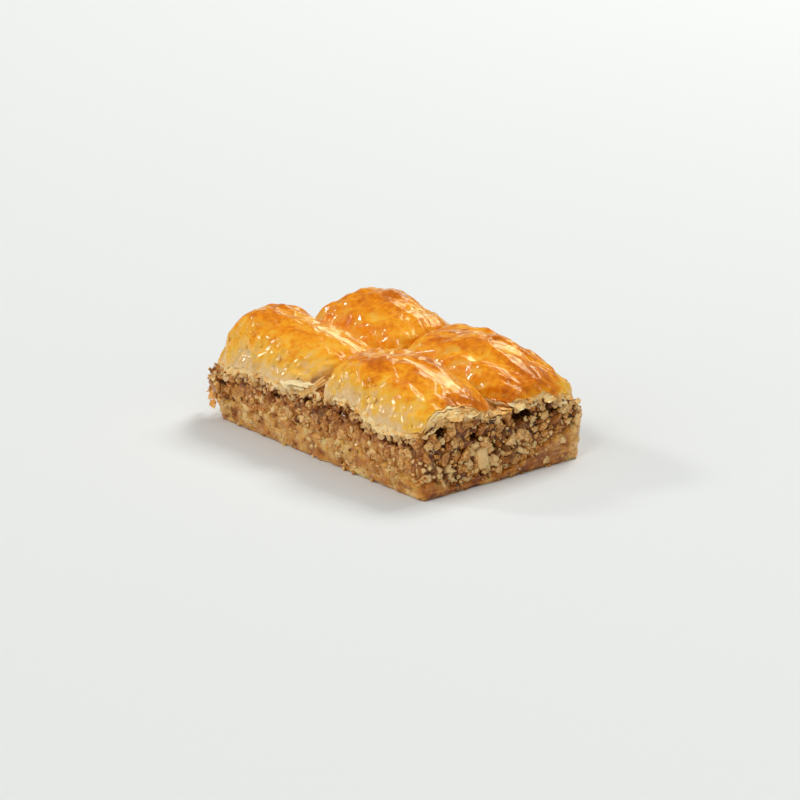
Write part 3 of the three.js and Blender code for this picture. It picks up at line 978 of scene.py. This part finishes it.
def random_turns(count, draw):
    """Random rotations, as matrices."""
    q = draw.normal(size=(count, 4))
    w, x, y, z = (q / np.linalg.norm(q, axis=1, keepdims=True)).T
    return np.array([
        [1 - 2 * (y * y + z * z), 2 * (x * y - z * w), 2 * (x * z + y * w)],
        [2 * (x * y + z * w), 1 - 2 * (x * x + z * z), 2 * (y * z - x * w)],
        [2 * (x * z - y * w), 2 * (y * z + x * w), 1 - 2 * (x * x + y * y)],
    ]).transpose(2, 0, 1)


def join_chunks(shapes, faces, centres, sizes, draw, turns=None, blocks=()):
    """All chunks as one mesh: points, faces, and the shape each was given. Those in blocks get the first."""
    count = len(centres)
    pick = draw.integers(len(shapes), size=count)
    pick[list(blocks)] = 0
    turns = random_turns(count, draw) if turns is None else turns
    local = shapes[pick]
    placed = np.einsum("nij,nvj->nvi", turns, local * sizes[:, None, :]) + centres[:, None, :]
    offsets = (np.arange(count) * shapes.shape[1])[:, None, None]
    return placed.reshape(-1, 3), (faces[None] + offsets).reshape(-1, faces.shape[1]), local


TRIES = 14  # places drawn for each nut that is wanted
NO_NUTS, NO_CRUMBS = 0.35, 0.25  # nuts and crumbs keep out of more of a hollow than this


def strew(amount, size_low, size_high, spacing, taken, draw):
    """Random places on the nut layer, clear of those taken and fewer on the long sides: the new and all."""
    tries = amount * TRIES
    runs = draw.uniform(0, GIRTH, tries)
    shares = draw.uniform(0, 1, tries)
    radii = size_low * (size_high / size_low) ** draw.uniform(0, 1, tries)
    at, out = outline(runs)
    foot = np.maximum(0.3, nuts_from(at) - 2.4)
    heights = mix(foot + 0.6 * radii, seam_height(at) - 0.25 * radii, shares)
    in_hollow = hollowness(runs, heights)[1] > NO_NUTS
    before = len(taken)
    for run, z, radius, facing, hollow in zip(runs, heights, radii, out, in_hollow):
        if draw.uniform() > 0.4 + 0.6 * abs(facing[0]) or hollow:
            continue
        gaps = np.hypot(run_between(run, taken[:, 0]), z - taken[:, 1])
        if np.any(gaps < spacing * (radius + taken[:, 2])):
            continue
        taken = np.vstack([taken, [run, z, radius]])
        if len(taken) == before + amount:
            break
    return taken[before:], taken


# Nuts that stand out, as (along, height, half sizes out, along and up, tilt in degrees, tone, skin). The first
# is the large pale kernel.
PLACED_NUTS = {
    "right": [(-8.3, 8.0, (1.8, 2.3, 3.6), 8, -0.08, 0.0), (2.7, 11.3, (1.5, 1.9, 1.6), 30, 0.0, 0.0),
              (-18.7, 15.0, (1.4, 1.9, 1.7), -20, 0.1, 0.0), (8.5, 11.6, (1.3, 1.4, 2.1), 15, 0.12, 0.0),
              (-14.5, 10.5, (1.3, 2.2, 1.7), 35, 0.2, 0.0), (14.5, 13.0, (1.2, 1.6, 1.3), 10, 0.25, 0.6),
              (-22.0, 11.0, (1.3, 1.7, 2.3), -30, 0.3, 0.0), (-2.0, 16.2, (1.2, 1.6, 1.2), 0, 0.2, 0.4)],
    "front": [(-34.6, 6.4, (1.2, 2.2, 1.5), -25, 0.0, 0.0), (4.7, 15.0, (1.3, 1.9, 1.8), 20, 0.3, 0.9),
              (27.0, 8.4, (1.2, 2.2, 1.7), 30, 0.1, 0.0), (-12.0, 11.0, (1.1, 2.0, 1.5), -15, 0.15, 0.3),
              (14.0, 11.0, (1.1, 1.7, 1.9), 40, 0.2, 0.0), (40.0, 9.0, (1.2, 1.6, 2.0), 10, 0.1, 0.5)],
    "left": [(-8.0, 9.0, (1.4, 2.2, 2.6), -15, 0.1, 0.0), (12.0, 12.5, (1.3, 1.9, 1.7), 25, 0.2, 0.6)],
    "back": [(-30.0, 11.5, (1.2, 2.1, 1.6), 20, 0.15, 0.0), (11.0, 9.5, (1.2, 1.8, 2.2), -30, 0.1, 0.7),
             (34.0, 10.5, (1.1, 2.0, 1.6), 15, 0.2, 0.0)],
}
# How many nuts of each kind, smallest and largest radius, spacing, how fine their balls are, how many flat
# breaks one has, the share of one that is sunk in, and the seed of their shapes.
CHUNK_KINDS = {
    "walnut_chunks": (430, 1.1, 2.3, 0.7, 3, 1, 0.5, 221),
    "walnut_bits": (620, 0.55, 1.0, 0.74, 2, 1, 0.45, 187),
    "walnut_crumbs": (300, 0.28, 0.5, 0.95, 2, 0, 0.25, 221),
}
CHUNK_SHAPES = 24
NUTS_MADE = 1.0  # share of them
NUT_TONE = (0.15, -0.05, 0.15, 0.04)  # added on each side


def contact_shade(points, centres, sizes):
    """How much darker each point of each chunk is than its tip: painted shade where it sits in the paste, and a
    little lighter toward its top.
    """
    radius = sizes.mean(axis=1)[:, None]
    local = points.reshape(len(centres), -1, 3) - centres[:, None, :]
    flat = centres[:, :2] - CENTRE
    beyond = np.abs(flat) / HALF
    way = np.where(beyond[:, :1] > beyond[:, 1:], [1.0, 0.0], [0.0, 1.0]) * np.sign(flat)
    out = np.einsum("nvk,nk->nv", local[..., :2], way) / radius
    return 0.42 * smooth(-out, -0.9, 0.5) - 0.08 * smooth(local[..., 2] / radius, 0.0, 1.0)


def tilted(out, tilt):
    """Rotations that turn x outward and y along the side, tilted up."""
    first = stack(out[:, 0], out[:, 1], 0 * tilt)
    second = stack(-out[:, 1] * np.cos(tilt), out[:, 0] * np.cos(tilt), np.sin(tilt))
    return np.stack([first, second, np.cross(first, second)], -1)


def build_nuts():
    draw = np.random.default_rng(101)
    columns = (np.array(column) for column in zip(*on_outline(PLACED_NUTS)))
    runs, heights, half_sizes, tilts, tones, skins = columns
    taken = stack(runs, heights, half_sizes[:, 1:].max(axis=1))
    for name, (amount, low, high, spacing, levels, cuts, sunk, seed) in CHUNK_KINDS.items():
        found, taken = strew(int(amount * NUTS_MADE), low, high, spacing, taken, draw)
        shapes, faces = chunk_shapes(levels, CHUNK_SHAPES, cuts, seed)
        run, z, radius = found.T
        count = len(found)
        in_base = 1 - smooth(z - nuts_from(outline(run)[0]), -2.5, 1.5)
        pressed = 1 - np.maximum(by_side(run, LOOSENESS), 0.8 * smooth(z, 10, 13.5))
        sinking = sunk + 0.55 * pressed + 0.3 * in_base
        out_by = -radius * sinking - 0.75 * by_side(run, CORE_IN) + draw.uniform(-0.5, 0.45, count)
        centres = side_point(run, z, out_by)
        sizes = radius[:, None] * draw.uniform(0.65, 1.35, (count, 3))
        tone = draw.normal(0.1, 0.26, count) + 0.2 * smooth(z, 9, 17) + by_side(run, NUT_TONE)
        tone = np.clip(tone, -0.1, 0.8)
        skinned = np.where(draw.uniform(size=count) < 0.15, 1.0, 0.0)
        turns = random_turns(count, draw)
        blocks = []
        if name == "walnut_chunks":
            shapes[0] = blocky(levels)
            blocks = [count]
            turns = np.concatenate([turns, tilted(outline(runs)[1], np.radians(tilts))])
            centres = np.concatenate([centres, side_point(runs, heights, -0.45 * half_sizes[:, 0] - 0.3)])
            sizes = np.concatenate([sizes, half_sizes * 1.1])
            tone, skinned = np.concatenate([tone, tones]), np.concatenate([skinned, skins])
        points, all_faces, local = join_chunks(shapes, faces, centres, sizes, draw, turns, blocks)
        toward = random_turns(len(centres), draw)[:, :, 0]
        facing = np.einsum("nvj,nj->nv", local / np.linalg.norm(local, axis=-1, keepdims=True), toward)
        values = {
            # tone: the nut's own tone, with painted shade where it meets the paste.
            "tone": (tone[:, None] + contact_shade(points, centres, sizes)).ravel(),
            "skin": (skinned[:, None] * smooth(facing, -0.1, 0.5)).ravel(),
        }
        make_piece(name, points, [all_faces], values, NUTS)


build_nuts()

# ---- The soaked base ----
UNDER_ROWS = (1.0, 3.0, 6.0, 10.0, 15.0, 20.0, 25.0)  # rings of its underside, in from the foot
LAYERED = (0, 0.8, 0, 0.4)  # how clear its layers are, past some patches all round
BASE_TONE = (0.36, 0.65, 0.36, 0.4)  # how dark it is


def build_base():
    run, z, at, solid = side_grid(int(BASE_TOP / (0.7 * SIDE_GRID)), 0, lambda at: nuts_from(at) + 1.2)
    wavy = z + 0.6 * noise(solid / [9, 9, 3], 82)
    layers = creases(stack(run / 11, wavy / 0.75), 81, 0.05) - 0.6
    layered = smooth(noise(stack(run / 14, z / 5), 80), -0.3, 0.4) + by_side(run, LAYERED)
    lumps, crumbs = nearest(solid / [3.0, 3.0, 2.2], 83), nearest(solid / 1.15, 89)
    stuck = smooth(noise(solid / 6, 84), 0.0, 0.5)
    out_by = 0.17 * layered * layers + 0.4 * rough(solid / [5, 5, 3], 85) + (0.14 + 0.9 * stuck) * (0.5 - lumps)
    out_by = out_by + (0.04 + 0.4 * stuck) * (0.5 - crumbs) - 0.5 * hill(z, 0.7) + 0.25
    out_by = out_by - 1.7 * smooth(z - nuts_from(at), -0.4, 1.2)
    side = side_point(run, z, out_by)
    tone = by_side(run, BASE_TONE) + 0.2 * noise(solid / [6, 6, 4], 86)
    # The term with the lumps darkens the recesses between lumps of stuck nut: painted shade.
    tone = tone - 0.32 * layered * layers + 0.2 * stuck * smooth(lumps, 0.2, 0.8)
    tone = tone - 0.38 * hill(from_corner(at, 1, 1), 8) + 0.14 * hill(from_corner(at, 1, -1), 8)
    rings, tones = [side[::-1].reshape(-1, 3)], [tone[::-1].ravel()]
    for inset in UNDER_ROWS:
        ring = drawn_in(side[0], inset)
        ring[:, 2] = 0.12 * smooth(noise(ring[:, :2] / 6, 87), 0, 0.6)
        rings.append(ring)
        tones.append(0.62 + 0.25 * noise(ring[:, :2] / 7, 88))
    points = np.concatenate(rings + [[[*CENTRE, 0.0]], [[*CENTRE, BASE_TOP + 0.3]]])
    faces = flipped(closed_body(len(side) + len(UNDER_ROWS), side.shape[1]))
    values = {"tone": np.concatenate(tones + [[0.62, 0.62]])}
    make_piece("soaked_pastry", points, faces, values, SOAKED, ["base_pastry"])


build_base()

# ---- Loose flakes of pastry and crumbs ----
FLAKE_GRID = 9  # points along a flake each way
WRINKLED_GRID = 23  # along the larger ones, which are finely wrinkled
SHARD_GRID = 5  # and along the small shards at the seam
SHARD_SHADE = 0.6
GLAZED_FLAKES = 9  # on each top
CUT_FLAKES, CUT_CRUMBS = 46, 150  # in the two cuts
FRILLS = 34  # under the glazed sheets at the +X end
SHARDS, PASTRY_CRUMBS = 150, 420  # at the seam
FOOT_CRUMBS, BASE_CRUMBS = 46, 420
CRUMB_SHAPES = 16
# Flakes torn loose, as (place from the block's middle, direction it faces, half length, half width, bend, roll,
# browning): at the front left corner, along the +X end, and at the front end of the cut.
TORN_FLAKES = [
    ((-53.6, -29.4, 7.2), (-0.35, -0.9, 0.3), 4.0, 2.6, -1.6, 0.5, 0.75),
    ((-52.4, -30.4, 9.8), (-0.5, -0.8, 0.5), 2.8, 1.8, 1.2, -0.4, 0.6),
    ((-52.2, -28.0, 5.4), (-0.7, -0.6, 0.3), 2.6, 1.6, -1.0, 0.3, 0.8),
    ((-50.8, -31.0, 4.2), (-0.2, -1.0, 0.2), 2.2, 1.3, 0.8, 0.2, 0.6),
    ((50.6, -20.2, 23.0), (0.7, -0.2, 0.7), 2.6, 1.1, 1.0, 0.0, 0.35),
    ((50.2, -14.0, 22.4), (0.6, 0.1, 0.8), 2.4, 1.0, 0.9, 0.0, 0.2),
    ((50.8, 4.0, 21.3), (0.7, 0.2, 0.7), 2.4, 1.0, 0.8, 0.0, 0.25),
    ((50.6, 15.5, 21.0), (0.7, 0.1, 0.7), 2.2, 0.9, 0.8, 0.0, 0.3),
    ((50.2, 27.4, 17.8), (0.7, 0.5, 0.5), 1.7, 0.8, 0.7, 0.4, 0.3),
    ((-2.3, -29.1, 20.8), (0.77, -0.62, 0.15), 4.4, 1.2, -1.2, 0.77, 0.35),
    ((-2.9, -29.9, 20.0), (0.77, -0.62, 0.1), 3.6, 0.8, -1.0, 0.72, 0.5),
    ((-6.4, -31.9, 21.9), (0.15, -0.3, 0.95), 4.6, 1.5, -0.5, 1.75, -0.2),
    ((-7.6, -32.2, 21.0), (0.1, -0.6, 0.8), 4.4, 1.1, -0.4, 0.15, -0.15),
    ((-12.0, -31.6, 20.0), (0.0, -0.8, 0.6), 3.4, 1.0, 0.4, -0.1, -0.1),
    ((0.4, -30.0, 18.6), (-0.1, -0.9, 0.5), 2.2, 1.2, 0.8, -0.3, 0.1),
]


def flake(place, facing, half_length, half_width, bend, roll, seed, grid):
    """A small torn sheet: the points of its two faces."""
    p, q = np.meshgrid(np.linspace(-1, 1, grid), np.linspace(-1, 1, grid), indexing="ij")
    ragged = 1 + 0.28 * noise(stack(1.3 * p + seed, 1.3 * q), seed)
    lift = bend * (p * p - 0.3) + 0.3 * noise(stack(1.6 * p, 1.6 * q + seed), seed + 3) * half_width / 1.5
    if grid == WRINKLED_GRID:
        ragged = ragged + 0.16 * noise(stack(3.7 * p + seed, 3.7 * q), seed + 9)
        lift = lift + 0.3 * (creases(stack(p * half_length, q * half_width / 2.4), seed + 5) - 0.6)
    p, q = p * np.sqrt(1 - 0.35 * q * q) * ragged, q * np.sqrt(1 - 0.35 * p * p) * ragged
    out = np.array(facing, float)
    out /= np.linalg.norm(out)
    along = np.cross((0.15, 0.1, 1.0) if abs(out[2]) < 0.9 else (1.0, 0.3, 0.0), out)
    along /= np.linalg.norm(along)
    across = np.cross(out, along)
    c, d = math.cos(roll), math.sin(roll)
    along, across = along * c + across * d, across * c - along * d
    middle = np.array(place) + p[..., None] * half_length * along + q[..., None] * half_width * across
    return [middle + (lift + side * SHEET_THICK / 2)[..., None] * out for side in (1, -1)]


def flake_faces(n):
    """Faces of one flake's two sides and its edge."""
    rim = rim_of(n, n)
    return np.concatenate([quads(n, n)] + flipped([quads(n, n, n * n), band(rim, n * n + rim)]))


def make_flakes(name, wanted, grids, material):
    """All flakes as one piece. grids says how many points each has along it."""
    points, faces, brown, shade = [], [], [], []
    first = 0
    for number, ((*shape, tone), grid) in enumerate(zip(wanted, grids)):
        count = 2 * grid**2
        points.extend(face.reshape(-1, 3) for face in flake(*shape, number, grid))
        faces.append(flake_faces(grid) + first)
        brown.append(np.full(count, tone))
        shade.append(np.full(count, SHARD_SHADE if grid == SHARD_GRID else 0.0))
        first += count
    values = {"browning": np.concatenate(brown), "shade": np.concatenate(shade)}
    make_piece(name, np.concatenate(points), faces, values, material, sharp=60)


def build_glazed_flakes():
    """Scales of the glazed sheet that came loose, low on the tops."""
    draw = np.random.default_rng(202)
    wanted = []
    for top in tops:
        for _ in range(GLAZED_FLAKES):
            s = np.array([top.long * draw.uniform(0.1, 0.9)])
            t = np.array([top.wide * draw.uniform(0.74, 0.93)])
            place, out = top.skin(0, s, t, 0.1)[0], top.outward(0, s, t)[0]
            size = draw.uniform(0.9, 2.2)
            wanted.append((place, out + draw.normal(0, 0.08, 3), size, size * draw.uniform(0.3, 0.6),
                           draw.uniform(0.0, 0.4), draw.uniform(-0.6, 0.6), top.browning(s, t, place[2:])[0]))
    make_flakes("glazed_flakes", wanted, [FLAKE_GRID] * len(wanted), CRUST)


def place_in_cut(draw, reach, spread, above, most, drop):
    """A random place along the two cuts, near their floor, which drops toward the block's sides."""
    far = draw.uniform(-1, 1)
    along_x = draw.uniform() < 0.6
    off = draw.normal(0, spread)
    height = VALLEY + above + draw.uniform(-0.3, most) - drop * smooth(abs(far), 0.6, 1.0)
    return np.array([far * reach[0], off, height] if along_x else [off, far * reach[1], height]) + [*CENTRE, 0]


def build_flakes():
    draw = np.random.default_rng(303)
    wanted = [(np.array(place) + [*CENTRE, 0], *rest) for place, *rest in TORN_FLAKES]
    for _ in range(CUT_FLAKES):
        place = place_in_cut(draw, reach=(46, 27), spread=0.5, above=-0.5, most=1.2, drop=3.0)
        facing = draw.normal(0, 0.5, 3) + (0, 0, 1)
        size = draw.uniform(0.9, 2.2)
        wanted.append((place, facing, size, size * draw.uniform(0.5, 0.9), draw.uniform(-0.5, 0.6),
                       draw.uniform(-1.5, 1.5), draw.uniform(0.1, 0.7)))
    for _ in range(FRILLS):
        y = draw.uniform(-27, 28)
        seam = seam_height(np.array([HALF[0], y]))
        place = np.array([HALF[0] + draw.uniform(-0.6, 0.6), y, seam + draw.uniform(0.4, 1.9)])
        facing = np.array([0.6, 0.0, 0.8]) + draw.normal(0, 0.2, 3)
        size = draw.uniform(0.9, 2.3)
        wanted.append((place + [*CENTRE, 0], facing, size, draw.uniform(0.4, 0.8), draw.uniform(0.2, 0.9),
                       draw.uniform(-0.3, 0.3), draw.uniform(-0.1, 0.6)))
    grids = [WRINKLED_GRID] * len(TORN_FLAKES) + [FLAKE_GRID] * (len(wanted) - len(TORN_FLAKES))
    run = draw.uniform(0, GIRTH, SHARDS)  # shards of the lowest sheets, where they break up into the nuts
    at, out = outline(run)
    z = seam_height(at) + draw.normal(0.3, 0.6, SHARDS)
    places = side_point(run, z, draw.uniform(-0.3, 0.3, SHARDS))
    clear = hollowness(run, z)[1] < NO_CRUMBS
    for place, facing in zip(places[clear], out[clear]):
        size = 0.4 * 3.2 ** draw.uniform(0, 1)
        facing = np.array([*facing, 0.4]) + draw.normal(0, 0.3, 3)
        wanted.append((place, facing, size, size * draw.uniform(0.4, 0.9), draw.uniform(-0.3, 0.4),
                       draw.uniform(-0.7, 0.7), draw.uniform(-0.1, 0.4)))
    make_flakes("pastry_flakes", wanted, grids + [SHARD_GRID] * int(clear.sum()), PALE)


def build_crumbs():
    """Bits of nut and pastry stuck along the foot, in the base, and in the cuts."""
    draw = np.random.default_rng(404)
    shapes, faces = chunk_shapes(levels=2, kinds=CRUMB_SHAPES, cuts=2, seed=51)
    on_sides = []
    for _ in range(FOOT_CRUMBS):
        radius = draw.uniform(0.3, 0.75)
        on_sides.append((radius, draw.uniform(0, GIRTH), 0.7 * radius, draw.uniform(-0.3, 0.5)))
    for _ in range(BASE_CRUMBS):
        radius = draw.uniform(0.5, 1.3)
        run, z = draw.uniform(0, GIRTH), 0.8 + 7.2 * draw.uniform() ** 0.7
        on_sides.append((radius, run, z, draw.uniform(-0.3, 0.2) - 0.42 * radius))
    in_cuts = []
    for _ in range(CUT_CRUMBS):
        place = place_in_cut(draw, reach=(48, 29.5), spread=0.7, above=-0.6, most=0.6, drop=3.4)
        in_cuts.append((place, draw.uniform(0.3, 0.8)))
    radius, run, z, out_by = np.transpose(on_sides)
    places, more = zip(*in_cuts)
    centres, radius = np.concatenate([side_point(run, z, out_by), places]), np.concatenate([radius, more])
    sizes = radius[:, None] * draw.uniform(0.7, 1.3, (len(radius), 3))
    points, all_faces, _ = join_chunks(shapes, faces, centres, sizes, draw)
    tone = np.clip(draw.normal(0.25, 0.15, len(radius)), 0, 1)
    skin = np.where(draw.uniform(size=len(radius)) < 0.12, 0.8, 0.0)
    values = {"tone": np.repeat(tone, shapes.shape[1]), "skin": np.repeat(skin, shapes.shape[1])}
    make_piece("loose_crumbs", points, [all_faces], values, NUTS)


def build_pastry_crumbs():
    """Where the lowest sheets break up: soft crumbs of pastry among the first nuts."""
    draw = np.random.default_rng(505)
    shapes, faces = chunk_shapes(levels=2, kinds=CRUMB_SHAPES, cuts=1, seed=61)
    run = draw.uniform(0, GIRTH, PASTRY_CRUMBS)
    at, out = outline(run)
    z = seam_height(at) + draw.normal(0.2, 0.6, PASTRY_CRUMBS)
    rare = draw.uniform(0, 1, PASTRY_CRUMBS) < 0.65 * np.abs(out[:, 0])
    keep = (hollowness(run, z)[1] < NO_CRUMBS) & ~rare
    run, z = run[keep], z[keep]
    radius = 0.35 * 2.4 ** draw.uniform(0, 1, len(run))
    centres = side_point(run, z, -0.5 * radius + draw.uniform(-0.5, 0.0, len(run)))
    sizes = radius[:, None] * draw.uniform(0.7, 1.4, (len(run), 3))
    points, all_faces, _ = join_chunks(shapes, faces, centres, sizes, draw)
    browning, shade = (np.repeat(draw.uniform(low, high, len(run)), shapes.shape[1])
                       for low, high in ((-0.2, 0.35), (0.3, 0.85)))
    values = {"browning": browning, "shade": shade}
    make_piece("pastry_crumbs", points, [all_faces], values, PALE)


build_glazed_flakes()
build_flakes()
build_crumbs()
build_pastry_crumbs()

# ---- Floor, light and camera ----
# Sizes and distances are in metres here, except the camera's place.
FLOOR_HALF, FLOOR_LOW = 6.0, -0.0001
GLEAM = (0.84, 1.0, 0.7)  # colour of the lights that show only as gleams
LIT_HEIGHT = 0.02  # the panels face the block's middle at this height
SKY_COLOUR, SKY_STRENGTH = (1.0, 0.99, 0.97, 1.0), 0.12


def build_stage():
    mesh = bpy.data.meshes.new("floor")
    corners = [(x * FLOOR_HALF, y * FLOOR_HALF, FLOOR_LOW) for x, y in ((-1, -1), (1, -1), (1, 1), (-1, 1))]
    mesh.from_pydata(corners, [], [(0, 1, 2, 3)])
    s = Shader("floor", Roughness=0.8, Specular_IOR_Level=0.0)
    mesh.materials.append(s.set(Base_Color=linear(0xE0E2E0)))
    add_object("floor", mesh)


def area_light(name, direction, distance, size, power, along=(0, 0, 1), gleam_only=True):
    """A soft panel facing the block, its second size turned along a direction: a gleam only, or plain light."""
    data = bpy.data.lights.new(name, "AREA")
    data.shape = "RECTANGLE"
    data.size, data.size_y = size
    data.energy = power
    data.color = GLEAM if gleam_only else (1, 1, 1)
    light = add_object(name, data)
    way = Vector(direction).normalized()
    up = Vector(along)
    up = (up - up.dot(way) * way).normalized()
    light.location = way * distance + Vector((0, 0, LIT_HEIGHT))
    light.rotation_euler = Matrix((up.cross(way), up, way)).transposed().to_euler()
    light.visible_diffuse, light.visible_glossy = not gleam_only, gleam_only


def sun(name, direction, angle, strength, glossy=True):
    """Soft light from far away, out of a disc of the sky that many degrees wide, seen in gleams or not."""
    data = bpy.data.lights.new(name, "SUN")
    data.angle = math.radians(angle)
    data.energy = strength
    light = add_object(name, data)
    light.visible_glossy = glossy
    light.rotation_euler = (-Vector(direction).normalized()).to_track_quat("-Z", "Y").to_euler()


build_stage()
area_light("back_right_softbox", (-0.1, 0.62, 0.78), 3.6, (1.8, 1.3), 73.0, gleam_only=False)
area_light("back_right_gleam", (-0.12, 0.62, 0.77), 1.0, (0.46, 0.34), 2.8)
area_light("back_strip", (-0.455, 0.63, 0.615), 0.9, (0.19, 0.42), 1.1, (0.73, 0, 0.68))
area_light("backdrop_gleam", (-0.70, 0.68, 0.18), 1.0, (0.8, 0.2), 0.4)
area_light("left_gleam", (-0.76, -0.54, 0.38), 0.9, (0.1, 0.12), 0.2)
area_light("right_gleam", (0.64, 0.60, 0.50), 0.9, (0.24, 0.2), 0.7)
sun("front_fill", (-0.1, -0.9, 0.36), 70, 0.95, glossy=False)
sun("left_glint", (-0.74, -0.45, 0.5), 9, 0.62)
sun("front_glint", (0.3, -0.7, 0.75), 12, 0.42)
sun("side_fill", (0.9, -0.2, 0.4), 70, 0.56, glossy=False)
sun("overhead", (0.0, 0.1, 1.0), 60, 0.62, glossy=False)

world = bpy.data.worlds.new("studio")
bpy.context.scene.world = world
world.use_nodes = True
world.node_tree.nodes["Background"].inputs["Color"].default_value = SKY_COLOUR
world.node_tree.nodes["Background"].inputs["Strength"].default_value = SKY_STRENGTH
bpy.context.scene.view_settings.view_transform = "Standard"

CAMERA_AT = np.array([502.748, -408.899, 216.660])  # in millimetres, from the middle of the block's foot
CAMERA_LOOK = Vector((-0.738348, 0.603256, -0.301538))
CAMERA_LENS = 101.8

camera_data = bpy.data.cameras.new("camera")
camera_data.lens = CAMERA_LENS
camera_data.sensor_width = 36.0
camera_data.clip_start = 0.01
camera_data.clip_end = 20.0
camera = add_object("camera", camera_data)
camera.location = Vector((CAMERA_AT + [*CENTRE, 0]) * MM)
camera.rotation_euler = CAMERA_LOOK.to_track_quat("-Z", "Y").to_euler()
bpy.context.scene.camera = camera
